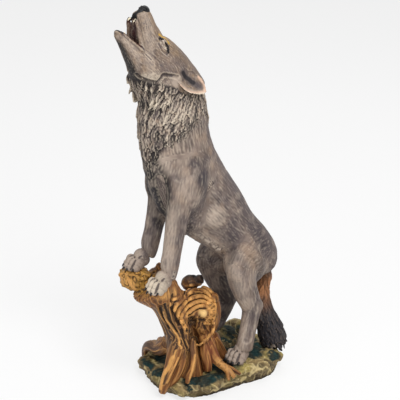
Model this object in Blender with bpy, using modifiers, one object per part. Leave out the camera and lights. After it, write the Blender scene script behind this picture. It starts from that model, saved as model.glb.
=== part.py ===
"""Howling wolf figurine: one cast piece, a wolf with its fore paws on a gnarled stump, on a rocky base.

The origin is on the resting plane under the middle of the base, +Z is up and the wolf faces -Y.
Lengths in the tables are millimetres, and MM turns them into Blender's metres.
"""

import math

import bmesh
import bpy
from mathutils import Matrix, Vector
from mathutils.bvhtree import BVHTree

MM = 0.001
NODE_NAME = "wolf_figurine"

# Mesh making
VOXEL = 2.0
FINE_VOXEL = 1.7
MOST_TRIANGLES = 11800
VOXEL_TRIES = 12
VOXEL_STEP = 0.013
RING_SIDES = 24
STEPS_PER_SPAN = 4

# Base
BASE_HEIGHT = 33.0
BASE_SINK = 9.0
FLAT_WITHIN = 0.3
CUTTER_SIZE = 600.0
BASE_OUTLINE = [
    (0, -93), (30, -82), (57, -57), (67, -20), (74, 30), (80, 75), (83, 108), (74, 137), (48, 158),
    (10, 174), (-30, 184), (-70, 180), (-105, 150), (-125, 105), (-132, 55), (-130, 5), (-122, -40),
    (-95, -70), (-55, -88), (-25, -92),
]
ORIGIN = Vector((-21.0, 44.5, 0.0))

# Stance
FORE_SPREAD = 74.0
FORE_SOLE_AT = -122.0
SHOULDER_AT = Vector((0.0, -72.0, 440.0))
FAR_SHOULDER_BACK = 20.0
HIND_SPREAD = 92.0
STUMP_TOP = 240.0
FAR_FORE_LIFT = 18.0
FAR_HIND_LIFT = 32.0
PAW_LENGTH = 50.0
PAW_WIDTH = 37.0
PAW_HEIGHT = 21.0

# Head
HEAD_PITCH = 61.0
HEAD_PIVOT = Vector((0.0, -70.0, 640.0))
EAR_WIDTH = 31.0
EAR_THICKNESS = 20.0
EAR_CUP = -0.6

# Mane
LOCK_LENGTH = 36.0
LOCK_WIDTH = 15.0
LOCK_THICKNESS = 8.0
LOCK_LIFT = 4.0
LOCK_SINK = 1.0
MANE_ROWS = 10
MANE_TOP = 614.0
MANE_FOOT = 456.0
MANE_TILT = 30.0
MANE_CROWN = 628.0
FRINGE_LOCKS = 9
FRINGE_LENGTH = 22.0
FRINGE_WIDTH = 10.0
FRINGE_THICKNESS = 6.0
FRINGE_FRONT = Vector((0.0, -46.0, 318.0))
FRINGE_REAR = Vector((0.0, 40.0, 258.0))
LOCKS_IN_ROW = 15

# Tail
TAIL_STRANDS = 9

# Stump
BURL_MIDDLE = Vector((7.0, 2.0, 143.0))
BURL_SIZE = Vector((31.0, 35.0, 52.0))
BURL_RIDGES = 5
BURL_RIDGE_STEP = 10.0
BURL_RIDGE_RADIUS = 5.0
STRANDS = 11
STRAND_RADIUS = 6.5


def clear_scene():
    for old in list(bpy.data.objects):
        bpy.data.objects.remove(old)


def new_collection(name):
    made = bpy.data.collections.new(name)
    bpy.context.scene.collection.children.link(made)
    return made


def evaluated_mesh(piece):
    bpy.context.view_layer.update()
    graph = bpy.context.evaluated_depsgraph_get()
    return bpy.data.meshes.new_from_object(piece.evaluated_get(graph))


def mesh_object(name, bm, collection):
    bmesh.ops.recalc_face_normals(bm, faces=bm.faces)
    mesh = bpy.data.meshes.new(name)
    bm.to_mesh(mesh)
    bm.free()
    made = bpy.data.objects.new(name, mesh)
    collection.objects.link(made)
    return made


def smooth_through(values, share):
    """Catmull-Rom value at share of the way from values[1] to values[2]."""
    a, b, c, d = values
    return 0.5 * (
        2 * b
        + (c - a) * share
        + (2 * a - 5 * b + 4 * c - d) * share**2
        + (3 * b - a - 3 * c + d) * share**3
    )


def filled_in(stations, steps=STEPS_PER_SPAN):
    """Stations (x, y, z, half width, half depth) with smooth ones added between them."""
    padded = [stations[0], *stations, stations[-1]]
    made = []
    for i in range(len(stations) - 1):
        four = padded[i : i + 4]
        for step in range(steps):
            made.append([smooth_through(column, step / steps) for column in zip(*four)])
    made.append(list(stations[-1]))
    return made


def loft(name, stations, collection, squareness=2.0, across_to=(1, 0, 0), hollow=1.0, steps=STEPS_PER_SPAN):
    """A limb: super-elliptic rings round a path, each with its own half width and half depth.

    The half widths lie along across_to. A hollow under 1 draws in the face that looks along the depth.
    """
    rings = filled_in(stations, steps)
    centres = [Vector(ring[:3]) for ring in rings]
    bm = bmesh.new()
    loops = []
    for i, ring in enumerate(rings):
        ahead = centres[min(i + 1, len(rings) - 1)] - centres[max(i - 1, 0)]
        ahead.normalize()
        side = Vector(across_to)
        side = (side - ahead * side.dot(ahead)).normalized()
        depth = ahead.cross(side)
        loop = []
        for k in range(RING_SIDES):
            turn = 2 * math.pi * k / RING_SIDES
            across = math.copysign(abs(math.cos(turn)) ** (2 / squareness), math.cos(turn))
            along = math.copysign(abs(math.sin(turn)) ** (2 / squareness), math.sin(turn))
            along *= hollow if along > 0 else 1.0
            loop.append(bm.verts.new(centres[i] + side * ring[3] * across + depth * ring[4] * along))
        loops.append(loop)
    for low, high in zip(loops, loops[1:]):
        for k in range(RING_SIDES):
            bm.faces.new((low[k], low[(k + 1) % RING_SIDES], high[(k + 1) % RING_SIDES], high[k]))
    bm.faces.new(loops[0])
    bm.faces.new(loops[-1])
    return mesh_object(name, bm, collection)


def blob(name, centre, radii, collection, turn=(0.0, 0.0, 0.0), segments=20):
    """An ellipsoid of muscle, bone, rock or burl."""
    bm = bmesh.new()
    bmesh.ops.create_uvsphere(bm, u_segments=segments, v_segments=segments // 2, radius=1.0)
    turned = Matrix.LocRotScale(None, None, Vector(radii))
    for axis, angle in zip("XYZ", turn):
        turned = Matrix.Rotation(math.radians(angle), 4, axis) @ turned
    bmesh.ops.transform(bm, matrix=Matrix.Translation(Vector(centre)) @ turned, verts=bm.verts)
    return mesh_object(name, bm, collection)


def rope(name, points, collection):
    """A root or wood strand: a Bezier curve through (x, y, z, radius) points, made a closed mesh."""
    curve = bpy.data.curves.new(name, "CURVE")
    curve.dimensions = "3D"
    curve.bevel_depth = 1.0
    curve.bevel_resolution = 2
    curve.resolution_u = 5
    curve.use_fill_caps = True
    spline = curve.splines.new("BEZIER")
    spline.bezier_points.add(len(points) - 1)
    for knot, (x, y, z, radius) in zip(spline.bezier_points, points):
        knot.co = (x, y, z)
        knot.radius = radius
        knot.handle_left_type = knot.handle_right_type = "AUTO"
    guide = bpy.data.objects.new(name, curve)
    collection.objects.link(guide)
    bm = bmesh.new()
    bm.from_mesh(evaluated_mesh(guide))
    bmesh.ops.remove_doubles(bm, verts=bm.verts, dist=0.01)
    bpy.data.objects.remove(guide)
    return mesh_object(name, bm, collection)


def surface_of(pieces):
    """A tree of the pieces' faces, for laying ridges on them."""
    bm = bmesh.new()
    for piece in pieces:
        bm.from_mesh(piece.data)
    tree = BVHTree.FromBMesh(bm)
    bm.free()
    return tree


def laid_on(tree, point, outward, reach=150.0):
    """The outermost spot of the surface on the line through point along outward, or None on a miss."""
    return tree.ray_cast(point + outward * reach, -outward)[0]


def is_clean(mesh):
    """True where every edge has two faces, so that the skin nowhere touches itself."""
    bm = bmesh.new()
    bm.from_mesh(mesh)
    clean = all(edge.is_manifold for edge in bm.edges) and all(vert.is_manifold for vert in bm.verts)
    bm.free()
    return clean


def fused(name, pieces, collection, voxel, smoothing):
    """One skin round overlapping pieces, as a sculptor runs clay together.

    A voxel grid can leave two sheets of the skin in touch, so slightly wider ones are tried until none do.
    """
    bm = bmesh.new()
    for piece in pieces:
        bm.from_mesh(piece.data)
        bpy.data.objects.remove(piece)
    lump = mesh_object(name + "_lump", bm, collection)
    skin = lump.modifiers.new("skin", "REMESH")
    skin.mode = "VOXEL"
    soften = lump.modifiers.new("soften", "SMOOTH")
    soften.factor = 0.5
    soften.iterations = smoothing
    for attempt in range(VOXEL_TRIES):
        skin.voxel_size = voxel * (1 + VOXEL_STEP * attempt)
        mesh = evaluated_mesh(lump)
        if is_clean(mesh):
            break
    bpy.data.objects.remove(lump)
    made = bpy.data.objects.new(name, mesh)
    collection.objects.link(made)
    return made


TRUNK = [
    (0, 164, 196, 30, 28),
    (0, 144, 222, 43, 44),
    (0, 112, 256, 47, 51),
    (0, 79, 291, 45, 53),
    (0, 43, 331, 49, 64),
    (0, 4, 373, 53, 72),
    (0, -26, 411, 55, 76),
    (0, -47, 455, 52, 74),
    (0, -58, 500, 48, 71),
    (0, -63, 545, 45, 69),
    (0, -68, 585, 42, 63),
    (0, -72, 618, 37, 54),
]


def torso(collection):
    pieces = [loft("trunk", TRUNK, collection)]
    for side in (1, -1):
        pieces.append(blob("shoulder", (side * 38, -52, 428), (25, 42, 60), collection, (-20, 0, 0)))
        pieces.append(blob("ribs", (side * 22, 8, 356), (33, 44, 52), collection, (40, 0, 0)))
        pieces.append(blob("haunch", (side * 28, 90, 232), (30, 56, 46), collection, (-38, 0, 0)))
    return pieces


def trunk_ring(height):
    """The trunk's middle (y), half width and half depth at a height, read off its stations."""
    for low, high in zip(TRUNK, TRUNK[1:]):
        if height <= high[2]:
            break
    share = (height - low[2]) / (high[2] - low[2])
    return [p + (q - p) * share for p, q in zip((low[1], low[3], low[4]), (high[1], high[3], high[4]))]


LOCK_PROFILE = [(0.0, -0.5, 0.35), (0.3, 0.1, 0.5), (0.6, 0.45, 0.44), (0.85, 0.8, 0.24), (1.0, 1.0, 0.05)]


def lock(name, root, flow, outward, length, width, thickness, collection):
    """One carved lock of fur: a bent leaf with its root sunk in the skin and its tip lifted off it."""
    root, flow, outward = Vector(root), Vector(flow), Vector(outward).normalized()
    flow = (flow - outward * flow.dot(outward)).normalized()
    across = flow.cross(outward).normalized()
    stations = []
    for share, rise, half in LOCK_PROFILE:
        sway = 0.16 * width * math.sin(math.pi * 1.5 * share)
        point = root + flow * length * share + outward * LOCK_LIFT * rise + across * sway
        stations.append((*point, width * half, thickness * (0.5 if share < 0.8 else 0.3)))
    return loft(name, stations, collection, across_to=across, steps=2)


def mane(collection):
    """Rows of locks down the neck and the chest, staggered like roof tiles."""
    pieces = []
    for row in range(MANE_ROWS):
        height = MANE_TOP + (MANE_FOOT - MANE_TOP) * row / (MANE_ROWS - 1)
        for place in range(LOCKS_IN_ROW):
            turn = 2 * math.pi * (place + 0.5 * (row % 2)) / LOCKS_IN_ROW
            back_share = 0.5 * (1 + math.sin(turn))
            wave = math.sin(2.7 * place + 1.9 * row)
            z = height + MANE_TILT * (back_share - 0.3) + 5 * wave
            if z > MANE_CROWN or back_share > 1.5 * (z - MANE_FOOT) / (MANE_TOP - MANE_FOOT) + 0.5:
                continue
            y, half_width, half_depth = trunk_ring(z)
            across, along = half_width - LOCK_SINK, half_depth - LOCK_SINK
            root = (across * math.cos(turn), y + along * math.sin(turn), z)
            outward = (math.cos(turn) / half_width, math.sin(turn) / half_depth, 0.006)
            flow = (0.14 * math.cos(turn) * wave, -0.5 * abs(math.cos(turn)) - 0.2 * wave, -1.0)
            size = 0.8 + 0.3 * back_share + 0.15 * math.sin(4.1 * place + 1.3 * row)
            length, width = LOCK_LENGTH * size, LOCK_WIDTH * size
            pieces.append(lock("lock", root, flow, outward, length, width, LOCK_THICKNESS, collection))
    return pieces


def belly_fringe(collection):
    """The ragged edge of longer fur under the belly."""
    pieces = []
    for i in range(FRINGE_LOCKS):
        start = FRINGE_FRONT.lerp(FRINGE_REAR, i / (FRINGE_LOCKS - 1))
        for side in (1, -1):
            wave = math.sin(2.1 * i + side)
            root = start + Vector((side * (17 + 3 * wave), 0, 6))
            flow, outward = (side * 0.1, 0.5, -0.85), (side, -0.6, -0.5)
            size = (FRINGE_LENGTH + 4 * wave, FRINGE_WIDTH, FRINGE_THICKNESS)
            pieces.append(lock("fringe", root, flow, outward, *size, collection))
    return pieces


def leg_stations(top, bottom, table):
    """Leg rings placed by their share of the way from top to bottom, with a bow forwards."""
    made = []
    for share, bow, half_width, half_depth in table:
        point = Vector(top).lerp(Vector(bottom), share)
        made.append((point.x, point.y + bow, point.z, half_width, half_depth))
    return made


def paw(sole, heading, collection, tilt=0.0):
    """A paw of four toes that lies with its sole at the point, toes towards heading degrees left of -Y."""
    reach, width, height = PAW_LENGTH, PAW_WIDTH, PAW_HEIGHT
    palm, heel = (0, 0.06 * reach, 0.48 * height), (0, 0.26 * reach, 0.60 * height)
    pieces = [
        blob("palm", palm, (0.42 * width, 0.38 * reach, 0.52 * height), collection),
        blob("heel", heel, (0.36 * width, 0.24 * reach, 0.60 * height), collection),
    ]
    for slot, lead in ((-1.5, 0.30), (-0.5, 0.42), (0.5, 0.42), (1.5, 0.30)):
        x = slot * 0.245 * width
        knuckle = (x, -(lead - 0.16) * reach, 0.50 * height)
        tip = (x * 1.08, -lead * reach, 0.30 * height)
        knuckle_size = (0.135 * width, 0.17 * reach, 0.44 * height)
        toe_size = (0.130 * width, 0.13 * reach, 0.32 * height)
        pieces.append(blob("knuckle", knuckle, knuckle_size, collection, (12, 0, 0)))
        pieces.append(blob("toe", tip, toe_size, collection, (20, 0, 0)))
    turned = Matrix.Rotation(math.radians(heading), 4, "Z") @ Matrix.Rotation(math.radians(tilt), 4, "X")
    place = Matrix.Translation(Vector(sole)) @ turned
    for piece in pieces:
        piece.data.transform(place)
    return pieces


def forelegs(collection):
    half = FORE_SPREAD / 2
    table = [
        (0.00, 6, 22, 34),
        (0.18, 3, 20, 30),
        (0.36, 0, 18, 25),
        (0.55, -1, 16.5, 21),
        (0.74, -2, 15.5, 19),
        (0.84, -3, 16, 19.5),
        (0.94, -1, 14, 16),
        (1.00, -4, 14, 15),
    ]
    near_sole = Vector((half, FORE_SOLE_AT, STUMP_TOP))
    far_sole = Vector((-half, FORE_SOLE_AT + 6, STUMP_TOP + FAR_FORE_LIFT))
    near_top = SHOULDER_AT + Vector((half, 0, 0))
    far_top = SHOULDER_AT + Vector((2 - half, FAR_SHOULDER_BACK, 0))
    near = leg_stations(near_top, near_sole + Vector((0, 18, 16)), table)
    far = leg_stations(far_top, far_sole + Vector((2, 22, 16)), table)
    legs = [loft("near_foreleg", near, collection), loft("far_foreleg", far, collection)]
    return legs, paw(near_sole, 4, collection, 10) + paw(far_sole, -4, collection, 6)


def hind_legs(collection):
    half = HIND_SPREAD / 2
    near_sole = Vector((half, 60, BASE_HEIGHT + 6))
    far_sole = Vector((-half - 6, 84, BASE_HEIGHT + FAR_HIND_LIFT))
    near = [
        (half - 8, 100, 250, 26, 54),
        (half - 2, 70, 236, 25, 42),
        (half - 1, 68, 208, 23, 33),
        (half - 2, 80, 172, 20, 26),
        (half - 3, 94, 142, 17, 23),
        (half - 2, 88, 112, 15.5, 20),
        (near_sole.x, near_sole.y + 18, near_sole.z + 42, 15, 19),
        (near_sole.x, near_sole.y + 12, near_sole.z + 16, 16, 20),
    ]
    far = [
        (-half + 8, 104, 240, 26, 54),
        (-half + 2, 72, 226, 25, 40),
        (-half, 76, 196, 22, 30),
        (-half - 1, 94, 158, 18, 25),
        (-half - 2, 110, 126, 16, 21),
        (-half - 4, 108, 106, 15, 18),
        (far_sole.x, far_sole.y + 14, far_sole.z + 24, 15, 17),
        (far_sole.x, far_sole.y + 8, far_sole.z + 12, 15, 16),
    ]
    pieces = [loft("near_hind_leg", near, collection), loft("far_hind_leg", far, collection)]
    for side, heel in ((1, (half - 3, 110, 140)), (-1, (-half - 2, 124, 122))):
        pieces.append(blob("hock", heel, (11, 12, 17), collection, (20, 0, 0)))
    return pieces, paw(near_sole, 14, collection) + paw(far_sole, 0, collection)


def head_matrix():
    """Head lay-out to figure lay-out: x to the wolf's left, -y along the muzzle, z to the crown."""
    pitch = math.radians(HEAD_PITCH)
    return Matrix.Translation(HEAD_PIVOT) @ Matrix.Rotation(-pitch, 4, "X")


def head(collection):
    """The head, laid out level and then tipped up to howl."""
    skull = [
        (0, 62, -15, 40, 60),
        (0, 40, -14, 41, 57),
        (0, 15, -12, 40, 51),
        (0, -5, -10, 39, 45),
        (0, -25, -9, 36, 38),
        (0, -42, -10, 31, 32),
        (0, -56, -14, 26, 27.5),
        (0, -72, -14.5, 22, 27),
        (0, -88, -13, 19.5, 25.5),
        (0, -104, -7.5, 17.5, 20),
        (0, -116, -4.5, 15.5, 17.5),
        (0, -122, -3, 13, 15),
        (0, -125, -2, 9, 11),
    ]
    jaw = [
        (0, 24, -42, 38, 33),
        (0, -10, -43, 37, 32),
        (0, -36, -45, 32, 29),
        (0, -56, -48, 27, 22),
        (0, -72, -52, 22, 17),
        (0, -88, -55, 17.5, 12),
        (0, -102, -57.5, 14, 9),
        (0, -114, -59, 11.5, 7.5),
        (0, -123, -59, 8.5, 5),
        (0, -127, -58.5, 5, 3),
    ]
    pieces = [
        loft("skull_and_muzzle", skull, collection, 2.2),
        loft("lower_jaw", jaw, collection, 2.2),
        blob("nose", (0, -121, 6), (9.5, 7, 7.5), collection),
    ]
    for side in (1, -1):
        pieces.append(blob("brow", (side * 15, -40, 10), (11, 21, 8), collection, (17, 0, side * 12)))
        pieces.append(blob("eye", (side * 21, -57, 0), (6.5, 8, 6), collection, (-18, 0, 0)))
        pieces.append(blob("jowl", (side * 21, 8, -44), (18, 30, 28), collection, (-20, 0, side * 6)))
    ears = [ear(side, collection) for side in (1, -1)]
    place = head_matrix()
    for piece in pieces + ears:
        piece.data.transform(place)
    return pieces, ears


def ear(side, collection):
    """An ear laid back along the neck: a cupped leaf that opens outwards."""
    half_width, half_thickness = EAR_WIDTH / 2, EAR_THICKNESS / 2
    leaf = [
        (side * 39, -4, -8, 0.60 * half_width, 0.90 * half_thickness),
        (side * 47, 10, -2, 0.98 * half_width, 1.00 * half_thickness),
        (side * 55, 24, 4, 1.02 * half_width, 0.95 * half_thickness),
        (side * 61, 36, 9, 0.84 * half_width, 0.75 * half_thickness),
        (side * 64, 44, 12, 0.48 * half_width, 0.50 * half_thickness),
        (side * 65, 48, 13, 0.14 * half_width, 0.30 * half_thickness),
    ]
    return loft("ear", leaf, collection, across_to=(0.0, 0.0, side * 1.0), hollow=EAR_CUP)


def tail(collection):
    """The tail hangs down and the end of its brush rests on the base; strands run along it."""
    brush = [
        (0, 160, 200, 17, 16),
        (-2, 166, 178, 15, 14),
        (-3, 164, 156, 14, 13),
        (4, 156, 134, 14, 14),
        (16, 152, 108, 18, 17),
        (27, 155, 80, 24, 21),
        (37, 155, 54, 25, 20),
        (46, 148, 36, 14, 12),
    ]
    pieces = [loft("tail", brush, collection)]
    for k in range(TAIL_STRANDS):
        points = []
        for i, (x, y, z, wide, deep) in enumerate(brush[1:-1]):
            turn = 2 * math.pi * k / TAIL_STRANDS + 0.25 * i
            across, along = 0.86 * wide * math.cos(turn), 0.86 * deep * math.sin(turn)
            points.append((x + across, y + along, z, 4.6 if z > 60 else 6))
        pieces.append(rope("tail_strand", points, collection))
    return pieces


STUMP = [
    (-4, -34, 20, 46, 42),
    (-2, -40, 60, 38, 34),
    (0, -50, 110, 33, 29),
    (2, -64, 150, 33, 29),
    (5, -79, 185, 34, 30),
    (7, -96, 212, 36, 34),
    (5, -114, 231, 48, 40),
    (2, -121, 239, 53, 42),
]


def stump(collection):
    """The trunk with its strands of grain, the burl beside it, and the roots."""
    pieces = [loft("stump_trunk", STUMP, collection)]
    bark = surface_of(pieces)
    trunk = list(pieces)
    for k in range(STRANDS):
        points = []
        for i, (x, y, z, wide, deep) in enumerate(STUMP[:-2]):
            sway = 0.10 * i + 0.08 * math.sin(2.3 * k + i)
            turn = 2 * math.pi * (k + 0.3 * math.sin(2.3 * k)) / STRANDS + sway
            outward = Vector((math.cos(turn), math.sin(turn), 0.0))
            radius = STRAND_RADIUS * (1.0 + 0.25 * math.sin(1.7 * k + 2.2 * i))
            points.append((*laid_on(bark, Vector((x, y, z)), outward), radius))
        pieces.append(rope("grain_strand", points, collection))
    neck = blob("burl_neck", (10, -34, 162), (26, 38, 38), collection, (-20, 0, 0))
    pieces.append(neck)
    pieces.append(blob("far_block", (-36, -124, 238), (25, 28, 21), collection))
    pieces.append(blob("bark_flake", (-6, -88, 248), (14, 8, 22), collection, (12, 0, 0)))
    pieces += burl([*trunk, neck], collection)
    for course in ROOTS:
        pieces.append(rope("root", course, collection))
    return pieces


ROOTS = [
    [(10, -66, 110, 17), (22, -82, 78, 15), (26, -96, 50, 12), (18, -102, 26, 11), (6, -100, 2, 10)],
    [(2, -62, 100, 12), (8, -84, 66, 10), (8, -94, 40, 8), (-6, -98, 18, 7)],
    [(30, -44, 96, 11), (40, -56, 66, 8), (46, -66, 46, 6), (52, -72, 34, 5)],
    [(14, 4, 92, 15), (34, 2, 66, 12), (52, 8, 50, 10), (70, 16, 40, 7), (82, 18, 32, 4)],
    [(52, 8, 50, 9), (62, 24, 42, 7), (78, 36, 34, 4)],
    [(-4, 24, 96, 16), (2, 40, 66, 12), (12, 50, 40, 10)],
    [(-24, -50, 84, 18), (-56, -54, 58, 14), (-86, -52, 54, 12), (-110, -46, 34, 11), (-116, -44, 12, 9)],
    [(-60, -52, 60, 10), (-84, -28, 60, 10), (-104, -14, 38, 9)],
    [(-28, -14, 80, 17), (-50, 22, 52, 13), (-66, 50, 30, 9)],
    [(-20, -70, 70, 13), (-34, -86, 40, 10), (-44, -92, 16, 8)],
]


def burl(trunk, collection):
    """A burl whose grain fans up from the trunk, arches over and curls down round a knob."""
    core = blob("burl_core", BURL_MIDDLE, BURL_SIZE, collection)
    tree = surface_of([core, *trunk])
    outward = Vector((0.72, -0.60, 0.36)).normalized()
    right = Vector((0.64, 0.77, 0.0)).normalized()
    up = outward.cross(right).normalized()
    pieces = [core]
    for ridge in range(BURL_RIDGES):
        span = 13 + BURL_RIDGE_STEP * ridge
        points = []
        for step in range(9):
            turn = math.radians(214 - step * 36)
            wide = span * (1.1 if math.cos(turn) < 0 else 0.52)
            tall = span * (1.0 if math.sin(turn) > 0 else 0.92)
            spot = BURL_MIDDLE + right * wide * math.cos(turn) + up * tall * math.sin(turn)
            spot = laid_on(tree, spot, outward)
            radius = BURL_RIDGE_RADIUS * (1.15 - 0.05 * step + 0.15 * math.sin(2.0 * step + ridge))
            if spot is not None:
                points.append((*(spot - outward * 0.5), radius))
        pieces.append(rope("burl_ridge", points, collection))
    pieces.append(blob("knob", laid_on(tree, BURL_MIDDLE, outward), (9, 8, 9), collection))
    pieces.append(blob("side_knob", BURL_MIDDLE + right * 31 + up * 22, (9, 10, 11), collection))
    stub = BURL_MIDDLE + up * 54 - right * 16
    pieces.append(blob("broken_stub", stub, (15, 19, 12), collection, (0, 12, 0)))
    return pieces


def ground(collection):
    """The base: an irregular slab with a rounded edge, sunk below zero for a flat cut to trim, and rocks."""
    bm = bmesh.new()
    middle = ORIGIN.to_2d()
    levels = (
        (-BASE_SINK, 0.95),
        (0.12 * BASE_HEIGHT, 0.97),
        (0.50 * BASE_HEIGHT, 1.00),
        (0.85 * BASE_HEIGHT, 0.97),
        (BASE_HEIGHT, 0.88),
    )
    count = len(BASE_OUTLINE)
    loops = []
    for z, share in levels:
        loop = []
        for i in range(count):
            four = [BASE_OUTLINE[(i + j) % count] for j in (-1, 0, 1, 2)]
            for step in range(STEPS_PER_SPAN):
                x, y = (smooth_through(column, step / STEPS_PER_SPAN) for column in zip(*four))
                spot = middle.lerp(Vector((x, y)), share)
                loop.append(bm.verts.new((spot.x, spot.y, z)))
        loops.append(loop)
    around = len(loops[0])
    for low, high in zip(loops, loops[1:]):
        for k in range(around):
            bm.faces.new((low[k], low[(k + 1) % around], high[(k + 1) % around], high[k]))
    bm.faces.new(loops[0])
    bm.faces.new(loops[-1])
    pieces = [mesh_object("slab", bm, collection)]
    for centre, radii in ROCKS:
        pieces.append(blob("rock", centre, radii, collection, segments=12))
    return pieces


ROCKS = [
    ((-58, 92, 40), (48, 42, 26)),
    ((-64, 150, 34), (34, 24, 22)),
    ((60, -26, 24), (26, 30, 16)),
    ((70, 84, 26), (22, 40, 15)),
    ((52, 60, 30), (34, 36, 12)),
    ((20, -76, 18), (40, 18, 14)),
    ((-70, -64, 22), (40, 20, 16)),
    ((-98, -30, 34), (26, 24, 18)),
    ((-104, 60, 28), (26, 50, 16)),
    ((20, 140, 26), (60, 32, 14)),
]


def trim_to_floor(piece, collection):
    """Cuts off what lies below zero, which leaves a flat face to rest on."""
    bm = bmesh.new()
    bmesh.ops.create_cube(bm, size=1.0)
    size = CUTTER_SIZE
    box = Matrix.Translation((0, 0, -size / 2)) @ Matrix.Scale(size, 4)
    bmesh.ops.transform(bm, matrix=Matrix.Scale(MM, 4) @ box, verts=bm.verts)
    cutter = mesh_object("floor_cutter", bm, collection)
    cutter.hide_render = True
    cutter.display_type = "WIRE"
    cut = piece.modifiers.new("floor", "BOOLEAN")
    cut.operation = "DIFFERENCE"
    cut.object = cutter


def thinned(piece):
    """The mesh brought down to its triangle budget, its underside left exactly flat."""
    skin = evaluated_mesh(piece)
    skin.calc_loop_triangles()
    thin = piece.modifiers.new("thin", "DECIMATE")
    thin.ratio = min(1.0, MOST_TRIANGLES / len(skin.loop_triangles))
    mesh = evaluated_mesh(piece)
    piece.modifiers.clear()
    piece.data = mesh
    for vert in mesh.vertices:
        if vert.co.z < FLAT_WITHIN * MM:
            vert.co.z = 0.0


def finish_material(piece):
    paint = bpy.data.materials.new("painted_resin")
    paint.use_nodes = True
    shader = paint.node_tree.nodes["Principled BSDF"]
    shader.inputs["Base Color"].default_value = (0.27, 0.22, 0.18, 1.0)
    shader.inputs["Roughness"].default_value = 0.6
    shader.inputs["Metallic"].default_value = 0.0
    piece.data.materials.append(paint)


def main():
    clear_scene()
    work = new_collection("howling_wolf_figurine")
    cutters = new_collection("cutters")
    fore, fore_paws = forelegs(work)
    hind, hind_paws = hind_legs(work)
    body = fused("body", torso(work) + fore + hind, work, VOXEL, 45)
    face, ears = head(work)
    face = fused("face", face, work, VOXEL, 8)
    fur = mane(work) + belly_fringe(work)
    brush = fused("brush", tail(work), work, VOXEL, 2)
    wood = fused("wood", stump(work), work, FINE_VOXEL, 1)
    earth = fused("earth", ground(work), work, VOXEL, 3)
    parts = [body, face, brush, wood, earth, *ears, *fur, *fore_paws, *hind_paws]
    figure = fused(NODE_NAME, parts, work, FINE_VOXEL, 2)
    figure.data.transform(Matrix.Scale(MM, 4) @ Matrix.Translation(-ORIGIN))
    trim_to_floor(figure, cutters)
    thinned(figure)
    finish_material(figure)


main()
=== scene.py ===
"""Howling wolf figurine: the carved and hand-painted dress of the one cast piece.

Lengths are millimetres in the sculptor's lay-out: the wolf's middle plane is x = 0, it faces -y, and z is up
from the resting plane. Each finished skin is brought into the frame's metres when it is handed over.
"""

import logging
import math
import random
from collections.abc import Iterable, Sequence
from dataclasses import dataclass, field
from enum import Enum

import bmesh
import bpy
import numpy as np
from mathutils import Matrix, Vector, noise
from mathutils.bvhtree import BVHTree
from mathutils.kdtree import KDTree


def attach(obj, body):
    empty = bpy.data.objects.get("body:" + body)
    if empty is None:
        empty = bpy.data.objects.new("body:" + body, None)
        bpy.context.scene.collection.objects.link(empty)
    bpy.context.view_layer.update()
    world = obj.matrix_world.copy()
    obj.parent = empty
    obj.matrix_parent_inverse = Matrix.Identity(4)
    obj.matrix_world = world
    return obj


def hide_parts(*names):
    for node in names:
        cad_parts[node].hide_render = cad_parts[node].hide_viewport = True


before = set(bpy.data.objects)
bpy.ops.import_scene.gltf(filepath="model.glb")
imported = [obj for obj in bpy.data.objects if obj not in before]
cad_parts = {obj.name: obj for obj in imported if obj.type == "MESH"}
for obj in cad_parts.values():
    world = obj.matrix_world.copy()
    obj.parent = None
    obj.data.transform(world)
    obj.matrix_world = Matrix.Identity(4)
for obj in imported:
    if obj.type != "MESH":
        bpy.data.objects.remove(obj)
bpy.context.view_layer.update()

LOG = logging.getLogger("wolf_figurine")
MM = 0.001
ORIGIN = Vector((-21.0, 44.5, 0.0))
CAD_NODE = "wolf_figurine"
WHITE = (1.0, 1.0, 1.0, 1.0)

Point = tuple[float, float, float]
Station = tuple[float, float, float, float, float]
Knot = tuple[float, float, float, float]


class Shade(Enum):
    """The pots of paint, as sRGB values from 0 to 255."""

    COAT = (130, 114, 104)
    COAT_WARM = (144, 122, 104)
    COAT_PALE = (172, 156, 142)
    CREAM = (204, 190, 170)
    SMOKE = (96, 85, 84)
    DUSK = (66, 60, 64)
    CHARCOAL = (34, 31, 34)
    BLACK = (15, 14, 16)
    FACE = (132, 113, 97)
    FOREHEAD = (132, 110, 88)
    OCHRE = (186, 148, 66)
    MAROON = (58, 20, 18)
    TONGUE = (96, 42, 38)
    EAR_PINK = (204, 172, 150)
    TOOTH = (226, 214, 186)
    RUST = (178, 118, 72)
    BLUE_BLACK = (34, 36, 43)
    WOOD = (122, 78, 44)
    WOOD_DARK = (44, 29, 20)
    WOOD_GOLD = (218, 162, 94)
    WOOD_PALE = (238, 198, 132)
    WOOD_RED = (112, 54, 34)
    BARK = (78, 58, 46)
    ROCK = (146, 125, 86)
    ROCK_OLIVE = (164, 148, 84)
    ROCK_PALE = (216, 196, 144)
    ROCK_SIDE = (88, 76, 60)
    EARTH = (46, 38, 30)
    GRASS = (26, 35, 33)
    GRASS_TEAL = (18, 44, 44)
    GRASS_TIP = (62, 84, 76)

    def linear(self) -> np.ndarray:
        """The paint as linear light."""
        share = np.array(self.value) / 255.0
        return np.where(share <= 0.04045, share / 12.92, ((share + 0.055) / 1.055) ** 2.4)


Cloud = tuple[Shade, float, float, float]


def smooth_through(values: Sequence[float], share: float) -> float:
    """The Catmull-Rom value at share of the way from values[1] to values[2]."""
    a, b, c, d = values
    bend = (2 * a - 5 * b + 4 * c - d) * share**2 + (3 * b - a - 3 * c + d) * share**3
    return 0.5 * (2 * b + (c - a) * share + bend)


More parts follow.
